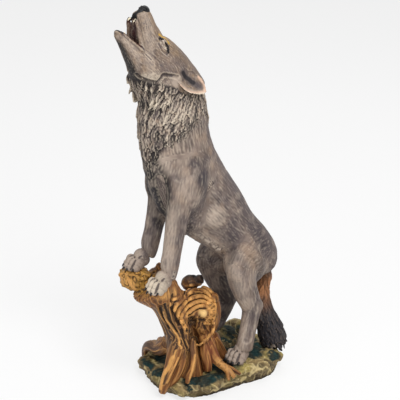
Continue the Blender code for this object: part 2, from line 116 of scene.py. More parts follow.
def filled_in(stations: Sequence[Sequence[float]], steps: int) -> list[list[float]]:
    """Adds smooth stations between the given ones.

    Args:
        stations: rows of numbers along a path.
        steps: how many spans each given span becomes.

    Returns:
        The rows, the given ones among them.
    """
    padded = [stations[0], *stations, stations[-1]]
    made = []
    for i in range(len(stations) - 1):
        for step in range(steps):
            made.append([smooth_through(column, step / steps) for column in zip(*padded[i : i + 4])])
    made.append(list(stations[-1]))
    return made


class Clay:
    """Loose closed shapes that are later run together into one skin.

    Args:
        place: where the shapes that follow are put, from their own lay-out.
    """

    THINNEST = 0.05
    balls: dict[int, bpy.types.Mesh] = {}

    def __init__(self, place: Matrix | None = None) -> None:
        """Starts with no clay."""
        self.shapes = bmesh.new()
        self.place = place or Matrix()

    def limb(
        self,
        stations: Sequence[Station],
        across_to: Point = (1.0, 0.0, 0.0),
        squareness: float = 2.0,
        steps: int = 4,
        sides: int = 24,
        cup: float = 1.0,
    ) -> None:
        """Draws a ring along a path, each station with its own half width and half depth.

        Args:
            stations: rows of x, y, z, half width and half depth.
            across_to: the way the first ring's half width lies.
            squareness: 2 for an ellipse, more for a boxier ring.
            steps: smooth spans for each given one.
            sides: corners of the ring.
            cup: under 1 draws in the side that looks along the depth.
        """
        rings = filled_in(stations, steps)
        centres = [Vector(ring[:3]) for ring in rings]
        bm = self.shapes
        verts = bmesh.ops.create_circle(bm, cap_ends=True, segments=sides, radius=1.0)["verts"]
        edges = list({edge for vert in verts for edge in vert.link_edges})
        for vert in verts:
            x, y = (math.copysign(abs(c) ** (2 / squareness), c) for c in vert.co.xy)
            vert.co.xy = (x, y * cup if y > 0 else y)
        side, last = Vector(across_to), Matrix()
        for i, ring in enumerate(rings):
            if i:
                grown = bmesh.ops.extrude_edge_only(bm, edges=edges)["geom"]
                verts = [part for part in grown if isinstance(part, bmesh.types.BMVert)]
                fresh = set(verts)
                edges = [e for e in grown if isinstance(e, bmesh.types.BMEdge) and fresh.issuperset(e.verts)]
            ahead = (centres[min(i + 1, len(rings) - 1)] - centres[max(i - 1, 0)]).normalized()
            side = (side - ahead * side.dot(ahead)).normalized()
            wide, deep = (max(half, self.THINNEST) for half in ring[3:5])
            frame_of_ring = Matrix((side * wide, ahead.cross(side) * deep, ahead)).transposed().to_4x4()
            now = self.place @ Matrix.Translation(centres[i]) @ frame_of_ring
            bmesh.ops.transform(bm, matrix=now @ last.inverted(), verts=verts)
            last = now
        bmesh.ops.contextual_create(bm, geom=edges)

    def rope(self, knots: Sequence[Knot], steps: int = 3, sides: int = 10) -> None:
        """A round strand through x, y, z, radius knots."""
        self.limb([(*knot, knot[3]) for knot in knots], (0.31, 0.52, 0.79), steps=steps, sides=sides)

    def blob(
        self, centre: Sequence[float], radii: Point, turn: Point = (0, 0, 0), segments: int = 20
    ) -> None:
        """An ellipsoid of muscle, bone, rock or burl, turned about x, then y, then z."""
        if segments not in self.balls:
            bm = bmesh.new()
            bmesh.ops.create_uvsphere(bm, u_segments=segments, v_segments=segments // 2, radius=1.0)
            self.balls[segments] = bpy.data.meshes.new("ball")
            bm.to_mesh(self.balls[segments])
            bm.free()
        turned = Matrix.LocRotScale(None, None, Vector(radii))
        for axis, angle in zip("XYZ", turn):
            turned = Matrix.Rotation(math.radians(angle), 4, axis) @ turned
        self.press(self.balls[segments], Matrix.Translation(Vector(centre)) @ turned)

    def press(self, mesh: bpy.types.Mesh, place: Matrix) -> None:
        """Adds a copy of a mesh at a place, as from a mould."""
        rest = np.empty(len(mesh.vertices) * 3, np.float32)
        mesh.vertices.foreach_get("co", rest)
        mesh.transform(self.place @ place)
        self.shapes.from_mesh(mesh)
        mesh.vertices.foreach_set("co", rest)

    def surface(self) -> BVHTree:
        """A tree of the clay so far, for laying ridges and locks on it."""
        bmesh.ops.recalc_face_normals(self.shapes, faces=self.shapes.faces)
        return BVHTree.FromBMesh(self.shapes)

    def loose(self, name: str) -> bpy.types.Mesh:
        """The shapes as they are, each a closed shell that faces outwards."""
        bmesh.ops.recalc_face_normals(self.shapes, faces=self.shapes.faces)
        mesh = bpy.data.meshes.new(name)
        self.shapes.to_mesh(mesh)
        self.shapes.free()
        return mesh

    def skin(self, name: str, voxel: float, smoothing: int) -> "Skin":
        """Runs the shapes together into one skin.

        Args:
            name: the skin's name.
            voxel: the grid that the skin is drawn on.
            smoothing: how often the skin is smoothed.

        Returns:
            The closed skin.
        """
        lump = bpy.data.objects.new(name, self.loose(name + "_clay"))
        bpy.context.scene.collection.objects.link(lump)
        wrap = lump.modifiers.new("skin", "REMESH")
        wrap.mode = "VOXEL"
        wrap.voxel_size = voxel
        soften = lump.modifiers.new("soften", "SMOOTH")
        soften.factor = 0.5
        soften.iterations = smoothing
        bpy.context.view_layer.update()
        graph = bpy.context.evaluated_depsgraph_get()
        mesh = bpy.data.meshes.new_from_object(lump.evaluated_get(graph))
        clay = lump.data
        bpy.data.objects.remove(lump)
        bpy.data.meshes.remove(clay)
        return Skin(name, mesh)


@dataclass(frozen=True)
class Stroke:
    """One pass of a modelling tool or of a brush, along a line or on one spot.

    A height above 0 builds the skin up and one below 0 cuts it in, and a shade colours it.
    """

    points: Sequence[Point]
    radius: float
    height: float = 0.0
    shade: Shade | None = None
    strength: float = 1.0
    both: bool = True


def brush(
    points: Sequence[Point], radius: float, shade: Shade, strength: float = 1.0, both: bool = True
) -> Stroke:
    """A stroke that only colours."""
    return Stroke(points, radius, 0.0, shade, strength, both)


class Skin:
    """One closed skin that tools carve and brushes colour.

    Args:
        name: the piece's name.
        mesh: the mesh, in millimetres.
    """

    FINE_RADIUS = 6.0
    FINE_FIRMNESS = 1.6
    GRAIN_JUMP = 40.0
    SEAM_ROUNDS = 5
    CLOUD_EDGE = 2.4
    WASH_FROM = 0.1
    DRY_FROM = 0.2
    WASH_EDGE = 0.6
    LEAST_RELIEF = 0.04

    def __init__(self, name: str, mesh: bpy.types.Mesh) -> None:
        """Reads the mesh into arrays."""
        self.name = name
        self.mesh = mesh
        self.edges = np.empty(len(mesh.edges) * 2, np.int32)
        mesh.edges.foreach_get("vertices", self.edges)
        self.edges = self.edges.reshape(-1, 2)
        self.spots = self._rows(mesh.vertices, "co")
        self.outward = self._rows(mesh.vertex_normals, "vector")
        self.paint = np.ones_like(self.spots)
        self.grain = self.spots.copy()
        self.calm = np.ones(len(self.spots))

    @staticmethod
    def _rows(items: bpy.types.bpy_prop_collection, name: str) -> np.ndarray:
        """A three-number property of every item."""
        flat = np.empty(len(items) * 3, np.float32)
        items.foreach_get(name, flat)
        return flat.reshape(-1, 3).astype(np.float64)

    def spread(self, values: np.ndarray, rounds: int) -> np.ndarray:
        """Evens values out over the skin, a neighbour further with each round."""
        one, two = self.edges.T
        size = len(values)
        count = np.bincount(one, minlength=size) + np.bincount(two, minlength=size)
        for _ in range(rounds):
            near = [np.bincount(one, col[two], size) + np.bincount(two, col[one], size) for col in values.T]
            values = 0.5 * values + 0.5 * (np.array(near) / count).T
        return values

    def relief(self, rounds: int) -> np.ndarray:
        """How far each spot stands above, or lies below, the skin around it."""
        return ((self.spots - self.spread(self.spots, rounds)) * self.outward).sum(axis=1)

    def move(self, amounts: np.ndarray) -> None:
        """Moves the skin along its own outward direction."""
        self.spots = self.spots + self.outward * amounts[:, None]
        self.mesh.vertices.foreach_set("co", self.spots.astype(np.float32).ravel())
        self.mesh.update()
        self.outward = self._rows(self.mesh.vertex_normals, "vector")

    def closeness(self, points: Sequence[Sequence[float]], radius: float) -> tuple[np.ndarray, np.ndarray]:
        """Which spots lie within radius of a line, and how close, from 0 at the radius to 1 on the line."""
        line = np.array(points, float)
        low, high = line.min(axis=0) - radius, line.max(axis=0) + radius
        inside = ((self.spots > low) & (self.spots < high)).all(axis=1)
        index = np.nonzero(inside)[0]
        spots = self.spots[index]
        best = np.full(len(index), np.inf)
        for start, end in zip(line, line[1:] if len(line) > 1 else line):
            span = end - start
            share = np.clip((spots - start) @ span / max(span @ span, 1e-9), 0, 1)
            best = np.minimum(best, np.linalg.norm(spots - start - share[:, None] * span, axis=1))
        return index, np.clip(1 - (best / radius) ** 2, 0, 1) ** 2

    def colour(self, weight: np.ndarray, shade: Shade, index: np.ndarray | slice = slice(None)) -> None:
        """Lays a shade over the paint, as much as weight says."""
        weight = np.clip(weight, 0, 1)[:, None]
        self.paint[index] = self.paint[index] * (1 - weight) + shade.linear() * weight

    def follow(
        self, strokes: Iterable[Stroke], place: Matrix | None = None, snap: bool = False, paired: bool = True
    ) -> None:
        """Carries out strokes one after another.

        Args:
            strokes: what to do.
            place: from the strokes' lay-out to the sculptor's.
            snap: True where each line is first laid on the skin.
            paired: False where no stroke is repeated on the other side of the middle plane.
        """
        place = place or Matrix()
        tree = None
        if snap:
            self.mesh.calc_loop_triangles()
            tree = KDTree(len(self.spots))
            for i, spot in enumerate(self.spots):
                tree.insert(spot, i)
            tree.balance()
        for stroke in strokes:
            points = filled_in(stroke.points, 3) if len(stroke.points) > 2 else stroke.points
            for side in (1, -1) if paired and stroke.both else (1,):
                line = [place @ Vector((side * p[0], p[1], p[2])) for p in points]
                if tree:
                    line = [tree.find(point)[0] for point in line]
                index, close = self.closeness(line, stroke.radius)
                if stroke.height:
                    amounts = np.zeros(len(self.spots))
                    amounts[index] = stroke.height * close
                    self.move(amounts)
                if stroke.shade:
                    firm = self.FINE_FIRMNESS if stroke.radius < self.FINE_RADIUS else 1.0
                    self.colour(stroke.strength * np.clip(firm * np.sqrt(close), 0, 1), stroke.shade, index)

    def comb(self, guides: Sequence[Sequence[Sequence[float]]], stretch: float, seed: int = 1) -> None:
        """Gives each spot a place in the grain of the guide nearest to it: across twice, and along.

        Where two guides' grains meet, calm falls to 0, so that neither a dent nor a streak shows the seam.

        Args:
            guides: paths that the hair or the wood runs along.
            stretch: how much longer a streak is than wide.
            seed: fixes the offsets that keep two guides' streaks apart.
        """
        pick = random.Random(seed)
        samples, arcs, frames, shifts = [], [], [], []
        for guide in guides:
            path = [Vector(row[:3]) for row in filled_in(guide, 4)]
            shift = [pick.uniform(-500, 500) for _ in range(3)]
            side, arc = Vector((0.9, 0.3, 0.2)), 0.0
            for i, point in enumerate(path):
                ahead = (path[min(i + 1, len(path) - 1)] - path[max(i - 1, 0)]).normalized()
                side = (side - ahead * side.dot(ahead)).normalized()
                arc += (point - path[i - 1]).length if i else 0.0
                samples.append(point)
                arcs.append(arc)
                frames.append((side, ahead.cross(side), ahead))
                shifts.append(shift)
        tree = KDTree(len(samples))
        for i, point in enumerate(samples):
            tree.insert(point, i)
        tree.balance()
        nearest = np.array([tree.find(spot)[1] for spot in self.spots])
        away = self.spots - np.array(samples)[nearest]
        local = np.einsum("nij,nj->ni", np.array(frames)[nearest], away)
        local[:, 2] = (local[:, 2] + np.array(arcs)[nearest]) / stretch
        self.grain = local + np.array(shifts)[nearest]
        ends = self.grain[self.edges]
        jumps = np.linalg.norm(ends[:, 0] - ends[:, 1], axis=1) > self.GRAIN_JUMP
        seam = np.zeros((len(self.spots), 1))
        seam[self.edges[jumps].ravel()] = 1
        self.calm = np.clip(1.3 - 7 * self.spread(seam, self.SEAM_ROUNDS)[:, 0], 0, 1)

    def noisy(self, size: float, seed: float = 0.0, along_grain: bool = False) -> np.ndarray:
        """Soft random values, about -1 to 1, that change over a distance of size."""
        shift = Vector((seed, 1.7 * seed, 0.6 * seed))
        places = (self.grain if along_grain else self.spots) / size
        return np.array([noise.noise(Vector(row) + shift) for row in places])

    def facets(self, size: float, rounds: int) -> np.ndarray:
        """Random steps from -0.5 to 0.5 between flat cells, their edges worn by rounds of spreading."""
        cells = np.array([noise.cell_vector(Vector(spot) / size).x for spot in self.spots])
        return self.spread(cells[:, None], rounds)[:, 0] - 0.5

    def roughen(self, height: float, size: float) -> None:
        """Carves random dents of a size, as long as the grain says, and none where two grains meet."""
        self.move(height * self.calm * self.noisy(size, along_grain=True))

    def mottle(self, shade: Shade, size: float, strength: float, seed: float) -> None:
        """Clouds of a shade."""
        self.colour(np.clip(self.noisy(size, seed) * self.CLOUD_EDGE, 0, 1) * strength, shade)

    def clouded(self, clouds: Sequence[Cloud]) -> None:
        """Lays clouds one after another: each has a shade, a size, a strength and a seed."""
        for cloud in clouds:
            self.mottle(*cloud)

    def tint(self, places: Sequence[Vector], shades: Sequence[Shade], strength: float) -> None:
        """Gives the skin round each place one of the shades, in turn."""
        tree = KDTree(len(places))
        for i, place in enumerate(places):
            tree.insert(place, i)
        tree.balance()
        owner = np.array([tree.find(spot)[1] for spot in self.spots]) * 7 % len(shades)
        for i, shade in enumerate(shades):
            self.colour((owner == i) * strength, shade)

    def heights_over(self, tree: BVHTree) -> np.ndarray:
        """How far each spot is from another surface."""
        return np.array([tree.find_nearest(Vector(spot))[3] for spot in self.spots])

    def wash(self, dark: Shade, pale: Shade, fine: int, broad: int, deep: float, dry: float) -> None:
        """Lets thin dark paint settle in the hollows, then brushes the ridges nearly dry with pale paint.

        Args:
            dark: the paint of the hollows.
            pale: the paint of the ridges.
            fine: rounds that find the finest relief.
            broad: rounds that find the broad relief.
            deep: strength in the hollows.
            dry: strength on the ridges.
        """
        for rounds in (fine, broad):
            height = self.relief(rounds)
            height = height - self.spread(height[:, None], 2 * rounds)[:, 0]
            height = height / max(float(height.std()), self.LEAST_RELIEF)
            self.colour(deep * np.clip((-height - self.WASH_FROM) * self.WASH_EDGE, 0, 1), dark)
            self.colour(dry * np.clip((height - self.DRY_FROM) * self.WASH_EDGE, 0, 1), pale)

    def hand_over(self, material: bpy.types.Material) -> bpy.types.Object:
        """Writes paint and grain into the mesh and puts the piece into the frame."""
        rows = np.ones((len(self.paint), 4), np.float32)
        rows[:, :3] = np.clip(self.paint, 0, 1)
        rows[:, 3] = self.calm
        self.mesh.attributes.new("paint", "FLOAT_COLOR", "POINT").data.foreach_set("color", rows.ravel())
        grain = self.mesh.attributes.new("grain", "FLOAT_VECTOR", "POINT")
        grain.data.foreach_set("vector", self.grain.astype(np.float32).ravel())
        return handed_over(self.name, self.mesh, material)


def handed_over(name: str, mesh: bpy.types.Mesh, material: bpy.types.Material) -> bpy.types.Object:
    """Puts a mesh into the frame as a piece of the casting.

    Args:
        name: the piece's name.
        mesh: the mesh, in the sculptor's lay-out.
        material: its finish.

    Returns:
        The piece.
    """
    mesh.transform(Matrix.Scale(MM, 4) @ Matrix.Translation(-ORIGIN))
    mesh.materials.clear()
    mesh.materials.append(material)
    mesh.shade_smooth()
    piece = bpy.data.objects.new(name, mesh)
    bpy.context.scene.collection.objects.link(piece)
    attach(piece, "root")
    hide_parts(CAD_NODE)
    mesh.calc_loop_triangles()
    LOG.info("%s: %d triangles", name, len(mesh.loop_triangles))
    return piece


def trimmed(skin: Skin) -> Skin:
    """Cuts the skin off flat on the resting plane and closes it there."""
    bm = bmesh.new()
    bm.from_mesh(skin.mesh)
    whole = [*bm.verts, *bm.edges, *bm.faces]
    cut = bmesh.ops.bisect_plane(bm, geom=whole, plane_co=(0, 0, 0), plane_no=(0, 0, -1), clear_outer=True)
    rim = [part for part in cut["geom_cut"] if isinstance(part, bmesh.types.BMEdge)]
    bmesh.ops.edgenet_fill(bm, edges=rim)
    bmesh.ops.triangulate(bm, faces=[face for face in bm.faces if len(face.verts) > 4])
    bm.to_mesh(skin.mesh)
    bm.free()
    return Skin(skin.name, skin.mesh)


class Socket:
    """A shader socket that takes part in Python's arithmetic."""

    def __init__(self, shop: "NodeShop", output: bpy.types.NodeSocket) -> None:
        """Wraps one output."""
        self.shop = shop
        self.output = output

    def _with(self, operation: str, first: "Socket | float", second: "Socket | float") -> "Socket":
        """One Math node."""
        return self.shop.node("ShaderNodeMath", {"operation": operation}, {0: first, 1: second})

    def __add__(self, other: "Socket | float") -> "Socket":
        """Self plus other."""
        return self._with("ADD", self, other)

    __radd__ = __add__

    def __sub__(self, other: "Socket | float") -> "Socket":
        """Self minus other."""
        return self._with("SUBTRACT", self, other)

    def __rsub__(self, other: "Socket | float") -> "Socket":
        """Other minus self."""
        return self._with("SUBTRACT", other, self)

    def __mul__(self, other: "Socket | float") -> "Socket":
        """Self times other."""
        return self._with("MULTIPLY", self, other)

    __rmul__ = __mul__

    def scaled(self, factor: "Socket | float") -> "Socket":
        """A colour or vector made stronger or weaker."""
        return self.shop.node("ShaderNodeVectorMath", {"operation": "SCALE"}, {0: self, "Scale": factor})


class NodeShop:
    """Adds nodes to one tree.

    Args:
        tree: the nodes of a material or of the world.
    """

    def __init__(self, tree: bpy.types.NodeTree) -> None:
        """Opens the shop."""
        self.tree = tree

    def node(
        self,
        kind: str,
        settings: dict[str, object] | None = None,
        inputs: "dict[str | int, Socket | float | tuple[float, ...]] | None" = None,
        output: str | int = 0,
    ) -> Socket:
        """Adds a node.

        Args:
            kind: its type.
            settings: properties, set first.
            inputs: values or links for its sockets.
            output: the socket that is wanted.

        Returns:
            That output.
        """
        made = self.tree.nodes.new(kind)
        for name, value in (settings or {}).items():
            setattr(made, name, value)
        for key, value in (inputs or {}).items():
            self.feed(made.inputs[key], value)
        return Socket(self, made.outputs[output])

    def feed(self, socket: bpy.types.NodeSocket, value: "Socket | float | tuple[float, ...]") -> None:
        """Sets a socket or links it."""
        if isinstance(value, Socket):
            self.tree.links.new(value.output, socket)
        else:
            socket.default_value = value

    def seen(self) -> Socket:
        """1 where a ray comes from the camera, straight or by gloss or glass, and 0 elsewhere."""
        camera = self.node("ShaderNodeLightPath", output="Is Camera Ray")
        rays = camera.output.node.outputs
        total = camera + Socket(self, rays["Is Glossy Ray"]) + Socket(self, rays["Is Transmission Ray"])
        return self.node("ShaderNodeClamp", None, {"Value": total})


class PaintShop(NodeShop):
    """One material's nodes."""

    def __init__(self, name: str) -> None:
        """Starts from a plain Principled BSDF."""
        self.material = bpy.data.materials.new(name)
        self.material.use_nodes = True
        super().__init__(self.material.node_tree)
        self.shader = self.tree.nodes["Principled BSDF"]

    def coat(self, **values: "Socket | float | tuple[float, ...]") -> bpy.types.Material:
        """Feeds the shader's sockets, an underscore standing for a space, and returns the material."""
        for name, value in values.items():
            self.feed(self.shader.inputs[name.replace("_", " ")], value)
        return self.material


@dataclass(frozen=True)
class PaintedCasting:
    """Matt hand-painted resin, streaked along its grain."""

    name: str
    streak_size: float = 0.42
    streak_colour: float = 0.34
    mottle_size: float = 0.05
    mottle_colour: float = 0.22
    roughness: float = 0.62
    bump: float = 0.55
    depth: float = 0.0007
    shine: float = 0.18

    def material(self) -> bpy.types.Material:
        """The finish as a material."""
        shop = PaintShop(self.name)
        paint = shop.node("ShaderNodeAttribute", {"attribute_name": "paint"}, output="Color")
        grain = shop.node("ShaderNodeAttribute", {"attribute_name": "grain"}, output="Vector")
        streak = shop.node(
            "ShaderNodeTexNoise",
            None,
            {"Vector": grain, "Scale": self.streak_size, "Detail": 3.0, "Roughness": 0.6},
        )
        mottle = shop.node(
            "ShaderNodeTexNoise",
            None,
            {"Vector": grain, "Scale": self.mottle_size, "Detail": 2.0, "Roughness": 0.5},
        )
        calm = shop.node("ShaderNodeAttribute", {"attribute_name": "paint"}, output="Alpha")
        streak_step = (streak - 0.5) * calm
        light = 1.0 + streak_step * self.streak_colour * 2 + (mottle - 0.5) * calm * self.mottle_colour * 2
        bump = shop.node(
            "ShaderNodeBump",
            None,
            {"Height": streak_step, "Strength": self.bump, "Distance": self.depth},
            "Normal",
        )
        return shop.coat(
            Base_Color=paint.scaled(light),
            Roughness=self.roughness + (streak - 0.5) * 0.3,
            Specular_IOR_Level=self.shine,
            Normal=bump,
        )


@dataclass(frozen=True)
class Enamel:
    """One even colour with a gloss of its own."""

    name: str
    shade: Shade
    roughness: float = 0.3
    coat: float = 0.0
    shine: float = 0.3

    def material(self) -> bpy.types.Material:
        """The finish as a material."""
        colour = (*self.shade.linear(), 1.0)
        return PaintShop(self.name).coat(
            Base_Color=colour, Roughness=self.roughness, Coat_Weight=self.coat, Specular_IOR_Level=self.shine
        )


def head_place() -> Matrix:
    """Head lay-out to figure lay-out: x to the wolf's left, -y along the muzzle, z to the crown."""
    return Matrix.Translation((0.0, -70.0, 640.0)) @ Matrix.Rotation(math.radians(-61.0), 4, "X")


def lock_mould(name: str, bends: Sequence[float], sides: int = 8) -> bpy.types.Mesh:
    """A mould for one lock: a bent leaf one long, one wide and one thick, its root sunk and its tip raised.

    Args:
        name: the mould's name.
        bends: how far the leaf swings across at its root, two fifths along, four fifths along and at its tip.
        sides: corners of its section.

    Returns:
        The mould's mesh.
    """
    clay = Clay()
    shares, halves, rises = (0.0, 0.36, 0.72, 1.0), (0.30, 0.52, 0.38, 0.10), (-0.55, 0.16, 0.40, 0.46)
    rows = [
        (bend, rise, share, half, 0.5 * (1 - 0.6 * share))
        for bend, rise, share, half in zip(bends, rises, shares, halves)
    ]
    clay.limb(rows, steps=2, sides=sides)
    return clay.loose(name)


class Barber:
    """Lays locks of fur on a surface.

    Args:
        seed: fixes what is random.
    """

    BENDS = ((0.0, 0.5, -0.1, 0.6), (0.0, -0.5, 0.12, -0.55), (0.0, 0.3, 0.45, -0.2), (0.0, -0.34, -0.4, 0.3))

    def __init__(self, seed: int) -> None:
        """Makes the moulds."""
        self.pick = random.Random(seed)
        self.moulds = [lock_mould(f"lock_mould_{i}", bends) for i, bends in enumerate(self.BENDS)]

    def lay(self, clay: Clay, root: Vector, flow: Vector, outward: Vector, size: Point) -> None:
        """Presses one lock on.

        Args:
            clay: what it is added to.
            root: where it starts.
            flow: which way it grows.
            outward: away from the skin.
            size: its length, width and thickness.
        """
        outward = outward.normalized()
        flow = (flow - outward * flow.dot(outward)).normalized()
        length, width, thickness = size
        axes = Matrix((flow.cross(outward) * width, outward * thickness, flow * length)).transposed()
        clay.press(self.pick.choice(self.moulds), Matrix.Translation(root) @ axes.to_4x4())


TRUNK: list[Station] = [
    (0, 164, 196, 30, 28),
    (0, 144, 222, 43, 44),
    (0, 112, 256, 47, 51),
    (0, 79, 291, 45, 53),
    (0, 43, 331, 49, 64),
    (0, 4, 373, 53, 72),
    (0, -26, 411, 55, 76),
    (0, -47, 455, 52, 74),
    (0, -58, 500, 48, 71),
    (0, -63, 545, 45, 69),
    (0, -68, 585, 42, 63),
    (0, -72, 618, 37, 54),
]


@dataclass
class Legs:
    """The four legs' paths and the places of their paws."""

    fore_half: float = 37.0
    hind_half: float = 46.0
    stump_top: float = 240.0
    base: float = 33.0

    def paths(self) -> list[list[Station]]:
        """Near fore, far fore, near hind and far hind leg."""
        near_fore = self.bowed((37, -72, 440), (37, -104, 256))
        far_fore = self.bowed((-35, -52, 440), (-35, -94, 274))
        half = self.hind_half
        near_hind = [
            (half - 8, 100, 250, 26, 54),
            (half - 2, 70, 236, 25, 42),
            (half - 1, 68, 208, 23, 33),
            (half - 2, 80, 172, 20, 26),
            (half - 3, 94, 142, 17, 23),
            (half - 2, 88, 112, 15.5, 20),
            (half, 78, 81, 15, 19),
            (half, 72, 55, 16, 20),
        ]
        far_hind = [
            (-half + 8, 104, 240, 26, 54),
            (-half + 2, 72, 226, 25, 40),
            (-half, 76, 196, 22, 30),
            (-half - 1, 94, 158, 18, 25),
            (-half - 2, 110, 126, 16, 21),
            (-half - 4, 108, 106, 15, 18),
            (-half - 6, 98, 89, 15, 17),
            (-half - 6, 92, 77, 15, 16),
        ]
        return [near_fore, far_fore, near_hind, far_hind]

    @staticmethod
    def bowed(top: Point, bottom: Point) -> list[Station]:
        """A fore leg from its shoulder to its wrist."""
        table = (
            (0.00, 6, 22, 34),
            (0.18, 3, 20, 30),
            (0.36, 0, 18, 25),
            (0.55, -1, 16.5, 21),
            (0.74, -2, 15.5, 19),
            (0.84, -3, 16, 19.5),
            (0.94, -1, 14, 16),
            (1.00, -4, 14, 15),
        )
        made = []
        for share, bow, wide, deep in table:
            spot = Vector(top).lerp(Vector(bottom), share)
            made.append((spot.x, spot.y + bow, spot.z, wide, deep))
        return made

    def paw_places(self) -> list[Matrix]:
        """Where each paw's sole lies, in the legs' order."""
        places = (
            ((self.fore_half, -122, self.stump_top), 4, 10),
            ((-self.fore_half, -116, self.stump_top + 18), -4, 6),
            ((self.hind_half, 60, self.base + 6), 14, 0),
            ((-self.hind_half - 6, 84, self.base + 32), 0, 0),
        )
        return [
            Matrix.Translation(Vector(sole))
            @ Matrix.Rotation(math.radians(heading), 4, "Z")
            @ Matrix.Rotation(math.radians(tilt), 4, "X")
            for sole, heading, tilt in places
        ]


@dataclass
class Paw:
    """A paw of four toes with claws, its sole at the origin and its toes towards -y."""

    reach: float = 52.0
    width: float = 40.0
    height: float = 22.0
    slots: tuple[tuple[float, float], ...] = ((-1.5, 0.30), (-0.5, 0.42), (0.5, 0.42), (1.5, 0.30))

    def model(self, clay: Clay) -> None:
        """Adds the instep and the toes."""
        reach, width, height = self.reach, self.width, self.height
        clay.blob((0, 0.08 * reach, 0.50 * height), (0.42 * width, 0.36 * reach, 0.54 * height))
        clay.blob((0, 0.14 * reach, 0.84 * height), (0.37 * width, 0.30 * reach, 0.70 * height), (14, 0, 0))
        for slot, lead in self.slots:
            x = slot * 0.25 * width
            clay.blob(
                (x, -(lead - 0.16) * reach, 0.56 * height), (0.150 * width, 0.19 * reach, 0.52 * height),
                (14, 0, 0),
            )
            clay.blob(
                (x * 1.06, -lead * reach, 0.34 * height), (0.134 * width, 0.14 * reach, 0.36 * height),
                (20, 0, 0),
            )

    def clefts(self) -> list[Stroke]:
        """The grooves between the toes."""
        reach, width, height = self.reach, self.width, self.height
        return [
            Stroke(
                (
                    (x, 0.02 * reach, 1.12 * height), (x, -0.26 * reach, 0.86 * height),
                    (x, -0.46 * reach, 0.3 * height),
                ),
                3.0, -1.5, Shade.SMOKE, 0.8, both=False,
            )
            for x in (-0.25 * width, 0.0, 0.25 * width)
        ]

    def claws(self, clay: Clay) -> None:
        """Adds a blunt claw to each toe."""
        for slot, lead in self.slots:
            x, y, z = slot * 0.265 * self.width, -(lead + 0.1) * self.reach, 0.36 * self.height
            clay.rope([(x, y + 2, z, 2.3), (x, y - 2.8, z - 0.6, 2.0), (x, y - 6, z - 4, 0.6)], sides=8)


